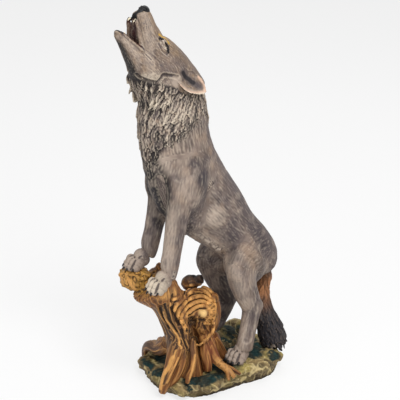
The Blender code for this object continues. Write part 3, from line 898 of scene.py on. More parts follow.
@dataclass
class Body:
    """The trunk, the legs and the paws: short smooth fur over muscle."""

    legs: Legs = field(default_factory=Legs)
    paw: Paw = field(default_factory=Paw)
    voxel: float = 2.05
    muscle_voxel: float = 1.8
    paw_voxel: float = 1.2
    muscle_smoothing: int = 60
    fringe_locks: int = 30
    shaggy_reach: float = 34.0
    shaggy_height: float = 1.1
    shaggy_size: float = 4.6
    undercoat: tuple[Cloud, ...] = ((Shade.SMOKE, 26.0, 0.75, 3.0), (Shade.COAT_WARM, 18.0, 0.6, 8.0))
    topcoat: tuple[Cloud, ...] = ((Shade.DUSK, 22.0, 0.35, 15.0), (Shade.COAT_PALE, 18.0, 0.35, 21.0))

    def core(self) -> Clay:
        """The trunk and the legs before the skin is drawn."""
        clay = Clay()
        clay.limb(TRUNK)
        for side in (1, -1):
            clay.blob((side * 38, -52, 428), (25, 42, 60), (-20, 0, 0))
            clay.blob((side * 22, 8, 356), (33, 44, 52), (40, 0, 0))
            clay.blob((side * 28, 90, 232), (30, 56, 46), (-38, 0, 0))
        for path in self.legs.paths():
            clay.limb(path)
        half = self.legs.hind_half
        clay.blob((half - 3, 110, 140), (11, 12, 17), (20, 0, 0))
        clay.blob((-half - 2, 124, 122), (11, 12, 17), (20, 0, 0))
        return clay

    def fringe(self, clay: Clay) -> None:
        """The ragged edge of longer fur under the belly."""
        barber = Barber(5)
        for i in range(self.fringe_locks):
            share = i / (self.fringe_locks - 1)
            start = Vector((0.0, -46.0, 326.0)).lerp(Vector((0.0, 46.0, 254.0)), share)
            for side in (1, -1):
                root = start + Vector((side * barber.pick.uniform(6, 24), 0, barber.pick.uniform(2, 9)))
                flow = Vector((side * 0.1, 0.85 + barber.pick.uniform(-0.3, 0.3), -0.5))
                barber.lay(
                    clay, root, flow, Vector((side, -0.6, -0.5)), (13 + barber.pick.uniform(-3, 3), 8, 4),
                )

    def strokes(self) -> list[Stroke]:
        """Hollows and ridges of the muscle, from the shoulder to the hocks."""
        return [
            Stroke(
                ((56, -34, 470), (60, -24, 430), (56, -22, 395), (46, -40, 356)), 22, -3.6, Shade.DUSK, 0.4,
            ),
            Stroke(((58, -66, 440), (60, -60, 400)), 16, 2.6),
            Stroke(((40, 10, 520), (52, -10, 490), (56, -30, 470)), 12, -2.0, Shade.DUSK, 0.4),
            Stroke(((44, 24, 500), (54, 4, 470), (58, -10, 450)), 11, 1.6, Shade.COAT_WARM, 0.3),
            # The groove between the chest and the near arm, painted charcoal as its shade.
            Stroke(((24, -114, 446), (22, -106, 412), (18, -98, 380)), 12, -5.0, Shade.CHARCOAL, 0.6),
            Stroke(((50, 66, 330), (46, 42, 300), (40, 30, 268)), 25, -3.4, Shade.DUSK, 0.3),
            Stroke(((44, 92, 318), (54, 96, 288), (60, 100, 262)), 17, -1.6, Shade.DUSK, 0.3),
            Stroke(((36, 112, 306), (48, 122, 272), (52, 126, 246)), 18, -1.6, Shade.DUSK, 0.3),
            Stroke(((52, -6, 352),), 30, 3.2),
            Stroke(((56, 22, 388), (62, 40, 356), (54, 44, 330), (44, 26, 304)), 20, -3.0, Shade.SMOKE, 0.4),
            Stroke(((48, -30, 330), (46, -8, 312), (42, 12, 296)), 15, -1.6),
            Stroke(((46, 118, 262), (54, 96, 222), (52, 92, 190)), 12, -2.4),
            Stroke(((56, 62, 280), (60, 84, 256), (60, 90, 236)), 12, 2.2),
            Stroke(((46, 60, 244), (52, 62, 214)), 14, 1.8),
            Stroke(((56, 94, 172), (56, 86, 140), (58, 80, 110), (56, 70, 84)), 10, -3.2, Shade.SMOKE, 0.5),
            Stroke(
                ((30, -108, 262), (40, -112, 262), (50, -104, 264)), 3.4, -1.8, Shade.SMOKE, 0.7, both=False,
            ),
            Stroke(
                ((30, -106, 271), (40, -110, 271), (50, -102, 272)), 3.0, -1.4, Shade.SMOKE, 0.6, both=False,
            ),
            Stroke(((-44, -100, 279), (-35, -104, 279), (-26, -98, 280)), 3.2, -1.6, both=False),
        ]

    def marks(self) -> list[Stroke]:
        """The coat's airbrushed patches, with painted shade under the chest, between the legs and on the far
        legs.
        """
        back = ((0, 22, 548), (0, 46, 464), (0, 92, 372), (0, 134, 314), (0, 176, 252), (0, 198, 200))
        flank = ((20, 40, 500), (34, 44, 440), (40, 74, 372), (42, 110, 318), (40, 150, 250))
        # The dusk paint lays the coat's dark patches on the back, flank and shoulder, and painted shade under
        # the chest, between the legs and on the far legs.
        dark_coat_and_shade, grey = Shade.DUSK, Shade.SMOKE
        pale, cream = Shade.COAT_PALE, Shade.CREAM
        return [
            brush(back, 62, grey, 0.85),
            brush(back, 46, dark_coat_and_shade, 0.75),
            brush(flank, 36, grey, 0.85),
            brush(flank[1:], 20, dark_coat_and_shade, 0.4),
            # Charcoal down the chest front: the chest's dark fur together with painted shade on the side away
            # from the lamps, and dusk as painted shade under the chest between the fore legs.
            brush(((0, -146, 520), (0, -148, 470), (0, -132, 420), (0, -100, 380)), 46, Shade.CHARCOAL, 0.9),
            brush(
                ((18, -116, 470), (20, -110, 440), (16, -100, 400), (8, -88, 366)), 26, Shade.CHARCOAL, 0.95,
            ),
            brush(((0, -60, 330), (0, -90, 370), (0, -90, 410)), 42, dark_coat_and_shade, 0.9),
            brush(((34, -112, 484), (36, -110, 464)), 18, pale, 0.8),
            brush(((52, -84, 452), (56, -74, 420)), 21, pale, 0.45),
            brush(((58, -56, 470), (58, -50, 450)), 20, dark_coat_and_shade, 0.8),
            brush(((61, -39, 436), (61, -36, 414)), 22, dark_coat_and_shade, 0.8),
            brush(((52, -60, 394), (50, -58, 372), (40, -56, 352)), 18, dark_coat_and_shade, 0.75),
            brush(((52, 10, 470), (54, -2, 440), (56, -6, 404)), 13, grey, 0.7),
            brush(((56, -16, 426), (58, -12, 398)), 12, pale, 0.5),
            brush(((56, 16, 410), (60, 30, 374)), 17, grey, 0.7),
            brush(((54, -8, 354),), 30, pale, 1.0),
            brush(((58, 24, 376), (58, 34, 344), (50, 20, 314)), 14, grey, 0.65),
            brush(((46, 44, 330), (44, 56, 300), (46, 48, 270)), 22, grey, 0.85),
            brush(((30, -34, 318), (32, 0, 296), (32, 24, 272)), 18, pale, 0.7),
            brush(((40, 72, 340), (42, 84, 316)), 20, grey, 0.6),
            brush(((34, 94, 332), (44, 118, 274)), 32, grey, 0.9),
            brush(((40, 112, 300), (50, 124, 262)), 18, dark_coat_and_shade, 0.5),
            brush(((56, 92, 300), (58, 106, 262)), 12, pale, 0.5),
            brush(((58, 61, 274), (66, 79, 247)), 18, Shade.COAT_WARM, 0.7),
            brush(((56, 108, 236), (58, 98, 208)), 22, dark_coat_and_shade, 0.6),
            brush(((60, 80, 216), (60, 84, 196)), 16, grey, 0.75),
            brush(((43, 145, 236), (40, 160, 210)), 21, grey, 0.7),
            brush(((44, 36, 250), (52, 38, 228), (56, 44, 204)), 21, pale, 0.8, both=False),
            brush(((62, 96, 186), (58, 108, 160)), 17, dark_coat_and_shade, 0.6, both=False),
            brush(((50, 56, 180), (54, 64, 150), (56, 62, 110), (52, 52, 70)), 17, pale, 0.75, both=False),
            brush(((52, 84, 140), (52, 88, 110), (50, 82, 84)), 13, grey, 0.7, both=False),
            brush(
                ((46, -104, 392), (46, -106, 372), (42, -112, 335), (41, -117, 306), (40, -120, 282)), 21,
                pale, 0.7, both=False,
            ),
            brush(((52, -84, 372), (52, -88, 330), (50, -96, 290)), 13, grey, 0.7, both=False),
            brush(((37, -144, 250),), 36, cream, 1.0, both=False),
            brush(((48, 40, 50),), 30, pale, 0.85, both=False),
            # Painted shade between the chest and the near fore leg: dusk, charcoal and black in the hollow
            # there.
            brush(((24, -70, 400), (20, -84, 350), (20, -96, 300)), 20, dark_coat_and_shade, 0.9, both=False),
            brush(
                ((10, -120, 460), (18, -114, 440), (20, -104, 410), (16, -92, 380), (8, -80, 350)), 30,
                Shade.CHARCOAL, 0.95,
            ),
            brush(((26, -112, 440), (26, -104, 412), (26, -94, 384), (24, -84, 352)), 16, Shade.BLACK, 0.75),
            # The far legs darker: partly their own darker fur, partly painted shade on the side away from the
            # lamps.
            brush(
                ((-36, -60, 400), (-36, -80, 350), (-36, -98, 300), (-36, -106, 280)), 36, grey, 0.4,
                both=False,
            ),
            brush(((-22, -92, 372), (-20, -104, 330), (-22, -112, 290)), 17, dark_coat_and_shade, 0.6, both=False),
            brush(((-34, -112, 350), (-34, -122, 310), (-34, -126, 286)), 16, pale, 0.7, both=False),
            brush(((-36, -136, 268),), 29, pale, 0.8, both=False),
            brush(
                ((-44, 60, 240), (-46, 80, 190), (-48, 104, 140), (-52, 100, 100)), 46, dark_coat_and_shade, 0.9, both=False,
            ),
            brush(((-52, 76, 72),), 28, dark_coat_and_shade, 0.8, both=False),
            # Painted shade on the inner side of the near hind leg, between the hind legs.
            brush(((20, 74, 235), (22, 90, 190), (24, 104, 150)), 21, dark_coat_and_shade, 0.9, both=False),
        ]

    def build(self) -> bpy.types.Object:
        """Models, carves and paints the body."""
        smooth = self.core().skin("body", self.muscle_voxel, self.muscle_smoothing)
        clay = Clay()
        clay.shapes.from_mesh(smooth.mesh)
        self.fringe(clay)
        skin = clay.skin("wolf_body", self.voxel, 2)
        skin.comb([[row[:3] for row in TRUNK], *self.legs.paths()], 3.2, 3)
        skin.paint[:] = Shade.COAT.linear()
        skin.clouded(self.undercoat)
        skin.follow(self.marks())
        skin.clouded(self.topcoat)
        skin.follow(self.strokes())
        skin.roughen(0.5, 8.0)
        skin.roughen(0.3, 3.4)
        shaggy = Mane().cover(skin.spots + (0.0, 0.0, self.shaggy_reach)) * skin.calm
        skin.move(self.shaggy_height * shaggy * skin.noisy(self.shaggy_size, along_grain=True))
        skin.wash(Shade.CHARCOAL, Shade.CREAM, fine=3, broad=6, deep=0.24, dry=0.16)
        # Charcoal on the skin under the mane, seen only in the gaps between the locks: painted shade there,
        # with the dark wash that settles in them.
        skin.colour(Mane().cover(skin.spots) * 0.9, Shade.CHARCOAL)
        return skin.hand_over(self.finish())

    def build_paws(self) -> bpy.types.Object:
        """Models, carves and paints the four paws."""
        clay = Clay()
        places = self.legs.paw_places()
        for place in places:
            clay.place = place
            self.paw.model(clay)
        skin = clay.skin("paws", self.paw_voxel, 3)
        skin.paint[:] = Shade.COAT.linear()
        skin.follow(self.marks())
        for place in places:
            skin.follow(self.paw.clefts(), place)
        skin.roughen(0.25, 4.0)
        skin.wash(Shade.CHARCOAL, Shade.CREAM, fine=3, broad=9, deep=0.2, dry=0.15)
        return skin.hand_over(self.finish())

    @staticmethod
    def finish() -> bpy.types.Material:
        """The paint of the short coat."""
        return PaintedCasting("coat_paint", streak_colour=0.24, bump=0.4).material()

    def build_claws(self) -> bpy.types.Object:
        """The claws of the four paws."""
        clay = Clay()
        for place in self.legs.paw_places():
            clay.place = place
            self.paw.claws(clay)
        return handed_over("claws", clay.loose("claws"), Enamel("claw_paint", Shade.CHARCOAL, 0.4).material())


@dataclass
class Head:
    """The howling head: skull, muzzle and open jaws, laid out level and tipped up."""

    voxel: float = 1.1
    ear_reach: float = 26.0
    undercoat: tuple[Cloud, ...] = (
        (Shade.SMOKE, 13.0, 0.45, 4.0),
        (Shade.COAT_PALE, 9.0, 0.5, 11.0),
        (Shade.FOREHEAD, 7.0, 0.7, 23.0),
    )
    topcoat: tuple[Cloud, ...] = ((Shade.DUSK, 3.4, 0.28, 17.0), (Shade.DUSK, 8.0, 0.25, 29.0))
    skull: tuple[Station, ...] = (
        (0, 62, -15, 40, 60),
        (0, 40, -14, 41, 57),
        (0, 15, -12, 40, 51),
        (0, -5, -10, 39, 45),
        (0, -25, -9, 36, 38),
        (0, -42, -10, 31, 32),
        (0, -56, -14, 26, 27.5),
        (0, -72, -14.5, 22, 27),
        (0, -88, -13, 19.5, 25.5),
        (0, -104, -7.5, 17.5, 20),
        (0, -116, -4.5, 15.5, 17.5),
        (0, -122, -3, 13, 15),
        (0, -125, -2, 9, 11),
    )
    jaw: tuple[Station, ...] = (
        (0, 24, -42, 38, 33),
        (0, -10, -43, 37, 32),
        (0, -36, -45, 32, 29),
        (0, -56, -48, 27, 22),
        (0, -72, -52, 22, 17),
        (0, -88, -55, 17.5, 12),
        (0, -102, -57.5, 14, 9),
        (0, -114, -59, 11.5, 7.5),
        (0, -123, -59, 8.5, 5),
        (0, -127, -58.5, 5, 3),
    )
    ear: tuple[Station, ...] = (
        (36, -8, -6, 9.0, 8.0),
        (41, 1, -5, 14.5, 10.5),
        (46, 10, -4, 18.5, 11.5),
        (52, 21, -1, 19.5, 11.0),
        (57, 32, 3, 16.5, 9.0),
        (61, 41, 6, 11.0, 6.5),
        (63.5, 46.5, 8, 5.5, 4.0),
        (64.5, 49, 8.5, 1.8, 2.2),
    )
    lid: tuple[Point, ...] = (
        (18.5, -71, -4), (20, -67.5, -0.5), (20, -64, 2), (22.5, -59.5, 3.2), (24.5, -54.5, 2.6),
        (28, -50, -1.5),
        (29.4, -45.2, -5.6),
    )
    fold: tuple[Point, ...] = (
        (14, -42, -72), (19.7, -33.4, -66.1), (27.9, -26.2, -60.1), (33.9, -18.8, -53), (34.1, -18, -45.3),
        (34.3, -19.6, -35.8), (34, -12.7, -27.9), (37.5, -6.5, -21.9), (41, -0.3, -15.9),
    )

    def ear_lines(self) -> list[list[Vector]]:
        """The middle line of each ear, in the sculptor's lay-out."""
        place = head_place()
        return [[place @ Vector((side * row[0], *row[1:3])) for row in self.ear] for side in (1, -1)]

    def core(self, ears: bool = True) -> Clay:
        """The head's clay, with or without its ears."""
        clay = Clay(head_place())
        clay.limb(self.skull, squareness=2.2, sides=32)
        clay.limb(self.jaw, squareness=2.2, sides=32)
        clay.blob((0, -119, 4.5), (10, 8, 8))
        for side in (1, -1):
            clay.blob((side * 15, -40, 9), (11, 22, 8), (17, 0, side * 12))
            clay.blob((side * 18, -58, 3), (6, 10, 5.5), (-14, 0, 0))
            clay.blob((side * 21, 8, -44), (18, 30, 28), (-20, 0, side * 6))
            clay.blob((side * 25, -22, -54), (12, 17, 15), (-30, 0, side * 10))
            clay.rope([(side * 8, -124, -22, 3.0), (side * 13, -117, -25, 3.6), (side * 14.5, -106, -29, 3.8),
                       (side * 16, -95, -34, 4), (side * 18.5, -84, -39, 4), (side * 22, -72, -42, 3)])
            clay.rope([(side * 5, -124, -56.5, 2.2), (side * 9, -116, -53.5, 2.8), (side * 12, -102, -50, 3),
                       (side * 15, -90, -46, 3), (side * 19, -78, -43, 3)])
            if ears:
                ear = [(side * row[0], *row[1:]) for row in self.ear]
                clay.limb(ear, (0.0, 0.0, side * 1.0), cup=-0.66, sides=40)
        clay.blob((0, -117, -60.5), (8.5, 8, 7))
        return clay

    def strokes(self) -> list[Stroke]:
        """Eyelids, lips, the stop, cheek folds and the mouth, cut into the skin."""
        return [
            Stroke(((0, -52, 16), (0, -40, 22), (0, -22, 30)), 9, -2.0, both=False),
            Stroke(((0, -110, 14), (0, -86, 14), (0, -66, 14)), 6, 0.9, both=False),
            Stroke(((22, -64, -1), (24, -60, -1), (26, -55, -2)), 4.6, -2.4),
            Stroke(self.lid, 2.4, 1.7),
            Stroke(((20, -68, -3.5), (23, -62, -5), (26, -55, -5.5), (28.5, -49, -5)), 2.2, 1.0),
            Stroke(((26, -66, -10), (28, -56, -12), (31, -44, -10)), 3.4, -1.1),
            Stroke(((18, -76, -12), (20, -88, -14), (18, -100, -12)), 7, -1.4),
            Stroke(((27, -60, -24), (29, -48, -30), (31, -38, -38)), 6, -1.3),
            Stroke(((20, -84, -41), (24, -70, -40), (29, -56, -38)), 3.0, -1.8),
            Stroke(self.fold, 5.0, -3.0),
            Stroke(((12, -44, 16), (18, -34, 22), (24, -18, 26)), 6, -1.2),
            Stroke(((0, -124, -28), (0, -108, -30), (0, -92, -38)), 9, -3.2, both=False),
            Stroke(((0, -120, -52), (0, -104, -47), (0, -88, -44)), 7, -2.8, both=False),
            Stroke(((0, -129, 0), (0, -128, -8), (0, -126, -20)), 1.7, -1.2, both=False),
        ]

    def marks(self) -> list[Stroke]:
        """The paint of the face before it is washed, with a painted shadow under the jaw."""
        return [
            brush(((0, -20, 34), (0, 20, 46), (0, 50, 48)), 40, Shade.SMOKE, 0.75, both=False),
            brush(((0, -100, 14), (0, -70, 14), (0, -40, 24)), 28, Shade.FOREHEAD, 0.95, both=False),
            brush(((26, -50, 4), (34, -26, 4), (36, -8, 8)), 15, Shade.FOREHEAD, 0.6),
            brush(((36, -30, -30), (40, -12, -24)), 15, Shade.SMOKE, 0.6),
            brush(((30, -14, -46), (36, -8, -40)), 12, Shade.DUSK, 0.45),
            brush(((27.5, -44, 8), (33, -26, 10)), 14, Shade.FOREHEAD, 0.7),
            brush(((34, -22, -4), (36, -6, 4)), 16, Shade.SMOKE, 0.6),
            brush(((28, -58, -30), (32, -44, -24), (36, -28, -20)), 13, Shade.SMOKE, 0.35),
            brush(((24, -88, -22), (28, -66, -34), (30, -46, -46)), 15, Shade.COAT_PALE, 0.65),
            brush(((18, -112, -8), (19, -96, -12)), 13, Shade.COAT_PALE, 0.6),
            brush(((24, -34, -60), (32, -26, -50)), 12, Shade.CREAM, 0.6),
            brush(((36, 4, -46), (42, 6, -30)), 17, Shade.COAT_PALE, 0.75),
            brush(((15, -110, -60), (16, -94, -56), (20, -76, -56)), 10, Shade.COAT_PALE, 0.6),
            # Painted shadow: black down the throat and along its sides under the raised jaw.
            brush(
                ((0, -104, -70), (0, -90, -70), (0, -60, -72), (0, -40, -78)), 13, Shade.BLACK, 1.0,
                both=False,
            ),
            brush(((7, -66, -72), (9, -46, -74), (12, -34, -76)), 9, Shade.BLACK, 0.9),
            brush(
                ((0, -122, -26), (0, -108, -30), (0, -94, -37), (0, -80, -44)), 15, Shade.MAROON, both=False,
            ),
            brush(((0, -120, -52), (0, -104, -48), (0, -88, -44)), 10, Shade.MAROON, both=False),
        ]

    def lines(self) -> list[Stroke]:
        """Fine brush lines, laid on last."""
        cup = tuple((x + 4, y, z + 3) for x, y, z, _, _ in self.ear[1:-2])
        low_rim = tuple((x + 2, y, z - wide) for x, y, z, wide, _ in self.ear[1:])
        high_rim = tuple((x + 2, y, z + wide) for x, y, z, wide, _ in self.ear[3:])
        return [
            brush(
                ((18, -76, 1), (19.8, -67, 6.5), (22.5, -60, 8.0), (25.5, -54, 6.0)), 2.6, Shade.OCHRE, 0.85,
            ),
            brush(((22, -65, -2), (24, -60.5, -2.4), (26, -55, -3)), 3.6, Shade.CREAM),
            brush(self.lid, 2.5, Shade.BLACK),
            brush(((20, -68, -4), (23, -62, -5), (26, -55, -6)), 1.4, Shade.SMOKE, 0.9),
            brush(((0, -129, -2), (0, -129, -12), (3, -127, -22), (8, -124, -24)), 5.0, Shade.BLACK),
            brush(((0, -112, 16), (4, -119, 12), (7, -124, 6)), 6.0, Shade.BLACK),
            brush(
                ((5, -126, -55), (10, -116, -51.5), (13.5, -102, -48), (17, -90, -44), (21, -82, -41)), 1.9,
                Shade.MAROON, 0.9,
            ),
            brush(((0, -130, -56), (5, -127, -56), (8, -122, -56)), 3.2, Shade.CHARCOAL, 0.9),
            brush(((21, -84, -41), (25, -74, -40)), 1.8, Shade.DUSK, 0.6),
            brush(self.fold[:4], 3.4, Shade.CHARCOAL, 0.6),
            brush(self.fold[3:], 2.6, Shade.CHARCOAL, 0.6),
            brush(low_rim, 11.0, Shade.COAT_PALE, 0.8),
            brush(low_rim[1:], 7.5, Shade.EAR_PINK, 1.0),
            brush(low_rim[2:], 3.6, Shade.CREAM, 0.8),
            brush(high_rim, 5.0, Shade.EAR_PINK, 0.9),
            # Dark in the ear's cup: partly the inner ear's colour, partly painted shade in its hollow.
            brush(cup[:-1], 9.0, Shade.DUSK, 0.85),
            brush(cup[:-2], 4.5, Shade.CHARCOAL, 0.9),
        ] + [
            brush(((x, y, z),), 1.2, Shade.DUSK, 0.9)
            for x, y, z in (
                (18, -108, -12), (18, -112, -16), (19, -102, -16), (19, -107, -21), (20, -98, -22),
                (19, -114, -10),
            )
        ]

    def build(self) -> bpy.types.Object:
        """Models, carves and paints the head."""
        skin = self.core().skin("wolf_head", self.voxel, 5)
        place = head_place()
        skin.follow(self.strokes(), place, snap=True)
        path = [place @ Vector(row[:3]) for row in self.skull]
        under = [place @ Vector(row[:3]) for row in self.jaw]
        skin.comb([path, under], 3.0, 5)
        skin.roughen(0.3, 5.0)
        skin.roughen(0.22, 2.2)
        skin.paint[:] = Shade.FACE.linear()
        skin.clouded(self.undercoat)
        skin.follow(self.marks(), place, snap=True)
        skin.clouded(self.topcoat)
        skin.wash(Shade.DUSK, Shade.CREAM, fine=3, broad=9, deep=0.35, dry=0.26)
        cover = Mane().cover(skin.spots)
        for line in self.ear_lines():
            index, close = skin.closeness(line, self.ear_reach)
            cover[index] *= close <= 0
        # Charcoal on the skin under the mane, seen only in the gaps between the locks: painted shade there,
        # with the dark wash that settles in them.
        skin.colour(cover * 0.9, Shade.CHARCOAL)
        skin.follow(self.lines(), place, snap=True)
        return skin.hand_over(PaintedCasting("face_paint", streak_colour=0.25, bump=0.35).material())

    def build_eyes(self) -> list[bpy.types.Object]:
        """The eyeballs behind half-shut lids."""
        clay = Clay(head_place())
        for side in (1, -1):
            clay.blob((side * 20.6, -60, -1.2), (4.2, 6.2, 2.8), (-6, 0, side * 16), segments=32)
        ball = handed_over(
            "eyes", clay.loose("eyes"), Enamel("eye_paint", Shade.COAT_PALE, 0.25, 0.5).material(),
        )
        clay = Clay(head_place())
        for side in (1, -1):
            clay.blob((side * 22.6, -60.5, 0.2), (2.6, 2.2, 2.0), segments=24)
        iris = handed_over(
            "irises", clay.loose("irises"), Enamel("iris_paint", Shade.BLACK, 0.15, 0.6).material(),
        )
        return [ball, iris]

    def build_nose(self) -> bpy.types.Object:
        """The nose pad with its two nostrils."""
        clay = Clay(head_place())
        clay.blob((0, -119, 6.0), (10.4, 10.0, 7.4), (-22, 0, 0), segments=32)
        clay.blob((0, -125.5, 4.0), (7.0, 5.0, 6.0), segments=24)
        clay.blob((0, -125, -1.5), (6.0, 4.5, 8.0), segments=24)
        for side in (1, -1):
            clay.blob((side * 6.8, -122.5, 5.6), (4.6, 6.0, 5.6), segments=24)
        skin = clay.skin("nose_pad", 0.6, 2)
        place = head_place()
        cuts = [
            Stroke(((4.6, -130, 5.2), (7.4, -128, 6.2), (10.6, -124.5, 4.4)), 2.4, -2.6),
            Stroke(((0, -130, 9), (0, -130, 3), (0, -129, -6)), 1.3, -1.1, both=False),
        ]
        skin.follow(cuts, place, snap=True)
        return handed_over("nose_pad", skin.mesh, Enamel("nose_paint", Shade.BLACK, 0.5, 0.0).material())

    def build_teeth(self) -> bpy.types.Object:
        """The upper and lower fangs."""
        clay = Clay(head_place())
        for side in (1, -1):
            clay.rope(
                [
                    (side * 7.6, -123.5, -21, 1.7), (side * 7.8, -123.5, -25, 1.3),
                    (side * 7.6, -122.5, -28, 0.4),
                ]
            )
            clay.rope(
                [(side * 7.6, -119, -57, 1.6), (side * 7.8, -119, -52.5, 1.2), (side * 7.8, -118, -50, 0.4)]
            )
        return handed_over("teeth", clay.loose("teeth"), Enamel("tooth_paint", Shade.TOOTH, 0.35).material())

    def build_tongue(self) -> bpy.types.Object:
        """The tongue in the lower jaw."""
        clay = Clay(head_place())
        clay.limb(
            [
                (0, -70, -44, 9, 4), (0, -84, -45, 9, 4), (0, -98, -47, 8, 3.4), (0, -110, -49.5, 6, 2.6),
                (0, -115, -51, 3, 1.6),
            ],
            steps=4,
        )
        return handed_over(
            "tongue", clay.loose("tongue"), Enamel("tongue_paint", Shade.TONGUE, 0.35, 0.3).material(),
        )


@dataclass
class Mane:
    """The long carved locks of the neck and the chest."""

    voxel: float = 1.35
    foot: float = 466.0
    crown: float = 600.0
    rows: int = 25
    in_row: int = 54
    length: float = 30.0
    width: float = 6.0
    thickness: float = 6.4
    inset: float = 1.5
    highest: float = 640.0
    throat_rise: float = 37.0
    nape_rise: float = 28.0
    side_rise: float = 40.0
    side_share: float = 0.55
    clear_of_ear: float = 21.0
    gap_depth: float = 2.6

    @staticmethod
    def middle(z: np.ndarray | float) -> np.ndarray | float:
        """Where the neck's axis is at a height, from the withers to the skull."""
        return -26 + (z - 411) * (-46 / 207)

    def around(self, spots: np.ndarray) -> tuple[np.ndarray, np.ndarray]:
        """How far across and how far back the spots lie on the neck, each from -1 to 1."""
        x, y, z = spots.T
        back = y - self.middle(z)
        away = np.hypot(x, back) + 1e-6
        return x / away, back / away

    def upper_edge(self, y: np.ndarray | float) -> np.ndarray | float:
        """Where the locks begin: under the jaw in front, behind the ears at the back."""
        return self.crown + self.throat_rise * np.clip((-40 - y) / 104, 0, 1)

    def lower_edge(self, across: np.ndarray | float, back: np.ndarray | float) -> np.ndarray | float:
        """Where the last locks grow, from how far across and how far back they are."""
        flanks = np.clip(np.abs(across) / self.side_share, 0, 1)
        return self.foot + self.nape_rise * (1 + back) + self.side_rise * flanks

    def cover(self, spots: np.ndarray) -> np.ndarray:
        """How much of the skin beneath is hidden by locks at each spot."""
        _, y, z = spots.T
        over = np.clip((z - self.lower_edge(*self.around(spots)) + 4) / 10, 0, 1)
        return over * np.clip((self.upper_edge(y) - z) / 5, 0, 1)

    def flow_at(self, spot: Vector, turn: float) -> Vector:
        """Which way the fur grows: straight down the nape, forwards and down on the sides."""
        sweep = 0.85 * abs(math.cos(turn)) * (1 - 0.4 * max(0.0, math.sin(turn)))
        swirl = noise.noise(spot * 0.05) * 1.5
        return Vector((0.25 * math.cos(turn) * swirl, -sweep - 0.55 * swirl, -1.0))

    def build(self) -> bpy.types.Object:
        """Lays, carves and paints the mane."""
        clay = Clay()
        clay.limb([(x, y, z, wide - self.inset, deep - self.inset) for x, y, z, wide, deep in TRUNK[6:]])
        head = Head()
        under = Body().core()
        under.shapes.from_mesh(head.core(ears=False).loose("head_guide"))
        tree = under.surface()
        ears = head.ear_lines()
        barber = Barber(7)
        roots = []
        for row in range(self.rows):
            height = self.highest + (self.foot - self.highest) * row / (self.rows - 1)
            for lock in range(self.in_row):
                turn = 2 * math.pi * (lock + 0.5 * (row % 2) + barber.pick.uniform(-0.35, 0.35)) / self.in_row
                root = self.one_lock(clay, barber, tree, ears, height, turn)
                if root:
                    roots.append(root)
        skin = clay.skin("wolf_mane", self.voxel, 0)
        skin.comb([[row[:3] for row in TRUNK[5:]]], 3.0, 9)
        skin.paint[:] = Shade.COAT.linear()
        skin.follow(self.marks())
        skin.tint(roots, (Shade.COAT_PALE, Shade.SMOKE, Shade.COAT_WARM, Shade.COAT, Shade.DUSK), 0.5)
        heights = skin.heights_over(tree)
        _, y, z = skin.spots.T
        full = np.clip((z - self.lower_edge(*self.around(skin.spots)) + 26) / 40, 0.15, 1)
        front = np.clip((-60 - y) / 60, 0, 1)
        # Dark paint at the foot of the locks: the casting's wash together with painted shade in the gaps
        # between them, black in the gaps on the front of the neck; cream on the crests.
        skin.colour(np.clip(1.15 - heights / self.gap_depth, 0, 1) * 0.95 * full, Shade.CHARCOAL)
        skin.colour(np.clip(1.0 - heights / 2.2, 0, 1) * 0.8 * front, Shade.BLACK)
        crests = np.clip((heights - self.gap_depth) / 3.0, 0, 1)
        skin.colour(crests * (0.5 + 0.45 * front) * full, Shade.CREAM)
        skin.roughen(0.4, 2.4)
        skin.wash(Shade.CHARCOAL, Shade.CREAM, fine=2, broad=5, deep=0.6, dry=0.4)
        return skin.hand_over(PaintedCasting("mane_paint", streak_colour=0.5, bump=0.7).material())

    def one_lock(
        self, clay: Clay, barber: Barber, tree: BVHTree, ears: list[list[Vector]], height: float, turn: float
    ) -> Vector | None:
        """Lays the lock that starts at a height and a turn.

        Args:
            clay: what the lock is added to.
            barber: who lays it, and whose draws shape it.
            tree: the smooth neck beneath.
            ears: the ears' lines, which the locks keep clear of.
            height: the row's height, in millimetres.
            turn: the angle round the neck.

        Returns:
            The lock's middle, or None where the mane has no lock.
        """
        across, back = math.cos(turn), math.sin(turn)
        z = height + 9 * back + barber.pick.uniform(-4, 4)
        low = self.lower_edge(across, back)
        if z < low:
            return None
        way = Vector((across, back, 0.0))
        spot, normal, _, _ = tree.ray_cast(Vector((0, self.middle(z), z)) + way * 150, -way)
        if spot is None or normal.dot(way) < 0.1 or z > self.upper_edge(spot.y):
            return None
        if any((spot - point).length < self.clear_of_ear for line in ears for point in line[1:]):
            return None
        size = (0.85 + 0.1 * back) * barber.pick.uniform(0.7, 1.25) * (0.7 + 0.3 * min(1.0, (z - low) / 40))
        size *= 0.55 + 0.45 * min(1.0, max(0.0, (self.upper_edge(spot.y) - z) / 30))
        fade = 0.15 + 0.85 * min(1.0, (z - low) / 46)
        flow = self.flow_at(spot, turn).normalized()
        tall = self.thickness * fade * barber.pick.uniform(0.75, 1.2)
        barber.lay(
            clay, spot - normal * 1.4, flow, normal,
            (self.length * size, self.width * (0.5 + 0.5 * size), tall),
        )
        return spot + flow * 0.5 * self.length * size

    def marks(self) -> list[Stroke]:
        """The airbrushed patches of the mane."""
        return [
            brush(((0, -150, 540), (0, -148, 500), (0, -140, 450)), 44, Shade.SMOKE, 0.8, both=False),
            brush(((30, -130, 600), (34, -120, 570)), 14, Shade.DUSK, 0.6),
            brush(((40, -104, 560), (44, -96, 536)), 12, Shade.DUSK, 0.5),
            brush(((26, -136, 520), (34, -124, 496)), 12, Shade.DUSK, 0.5),
            brush(((0, 10, 620), (0, 10, 570), (0, 20, 530), (0, 30, 500)), 30, Shade.SMOKE, 0.7, both=False),
            brush(((46, -80, 600), (48, -70, 560), (48, -60, 540)), 26, Shade.COAT_PALE, 0.6),
            brush(((40, -110, 520), (46, -96, 500)), 16, Shade.COAT_PALE, 0.5),
            brush(((50, -60, 506), (46, -20, 512), (34, 14, 520)), 24, Shade.SMOKE, 0.6),
        ]


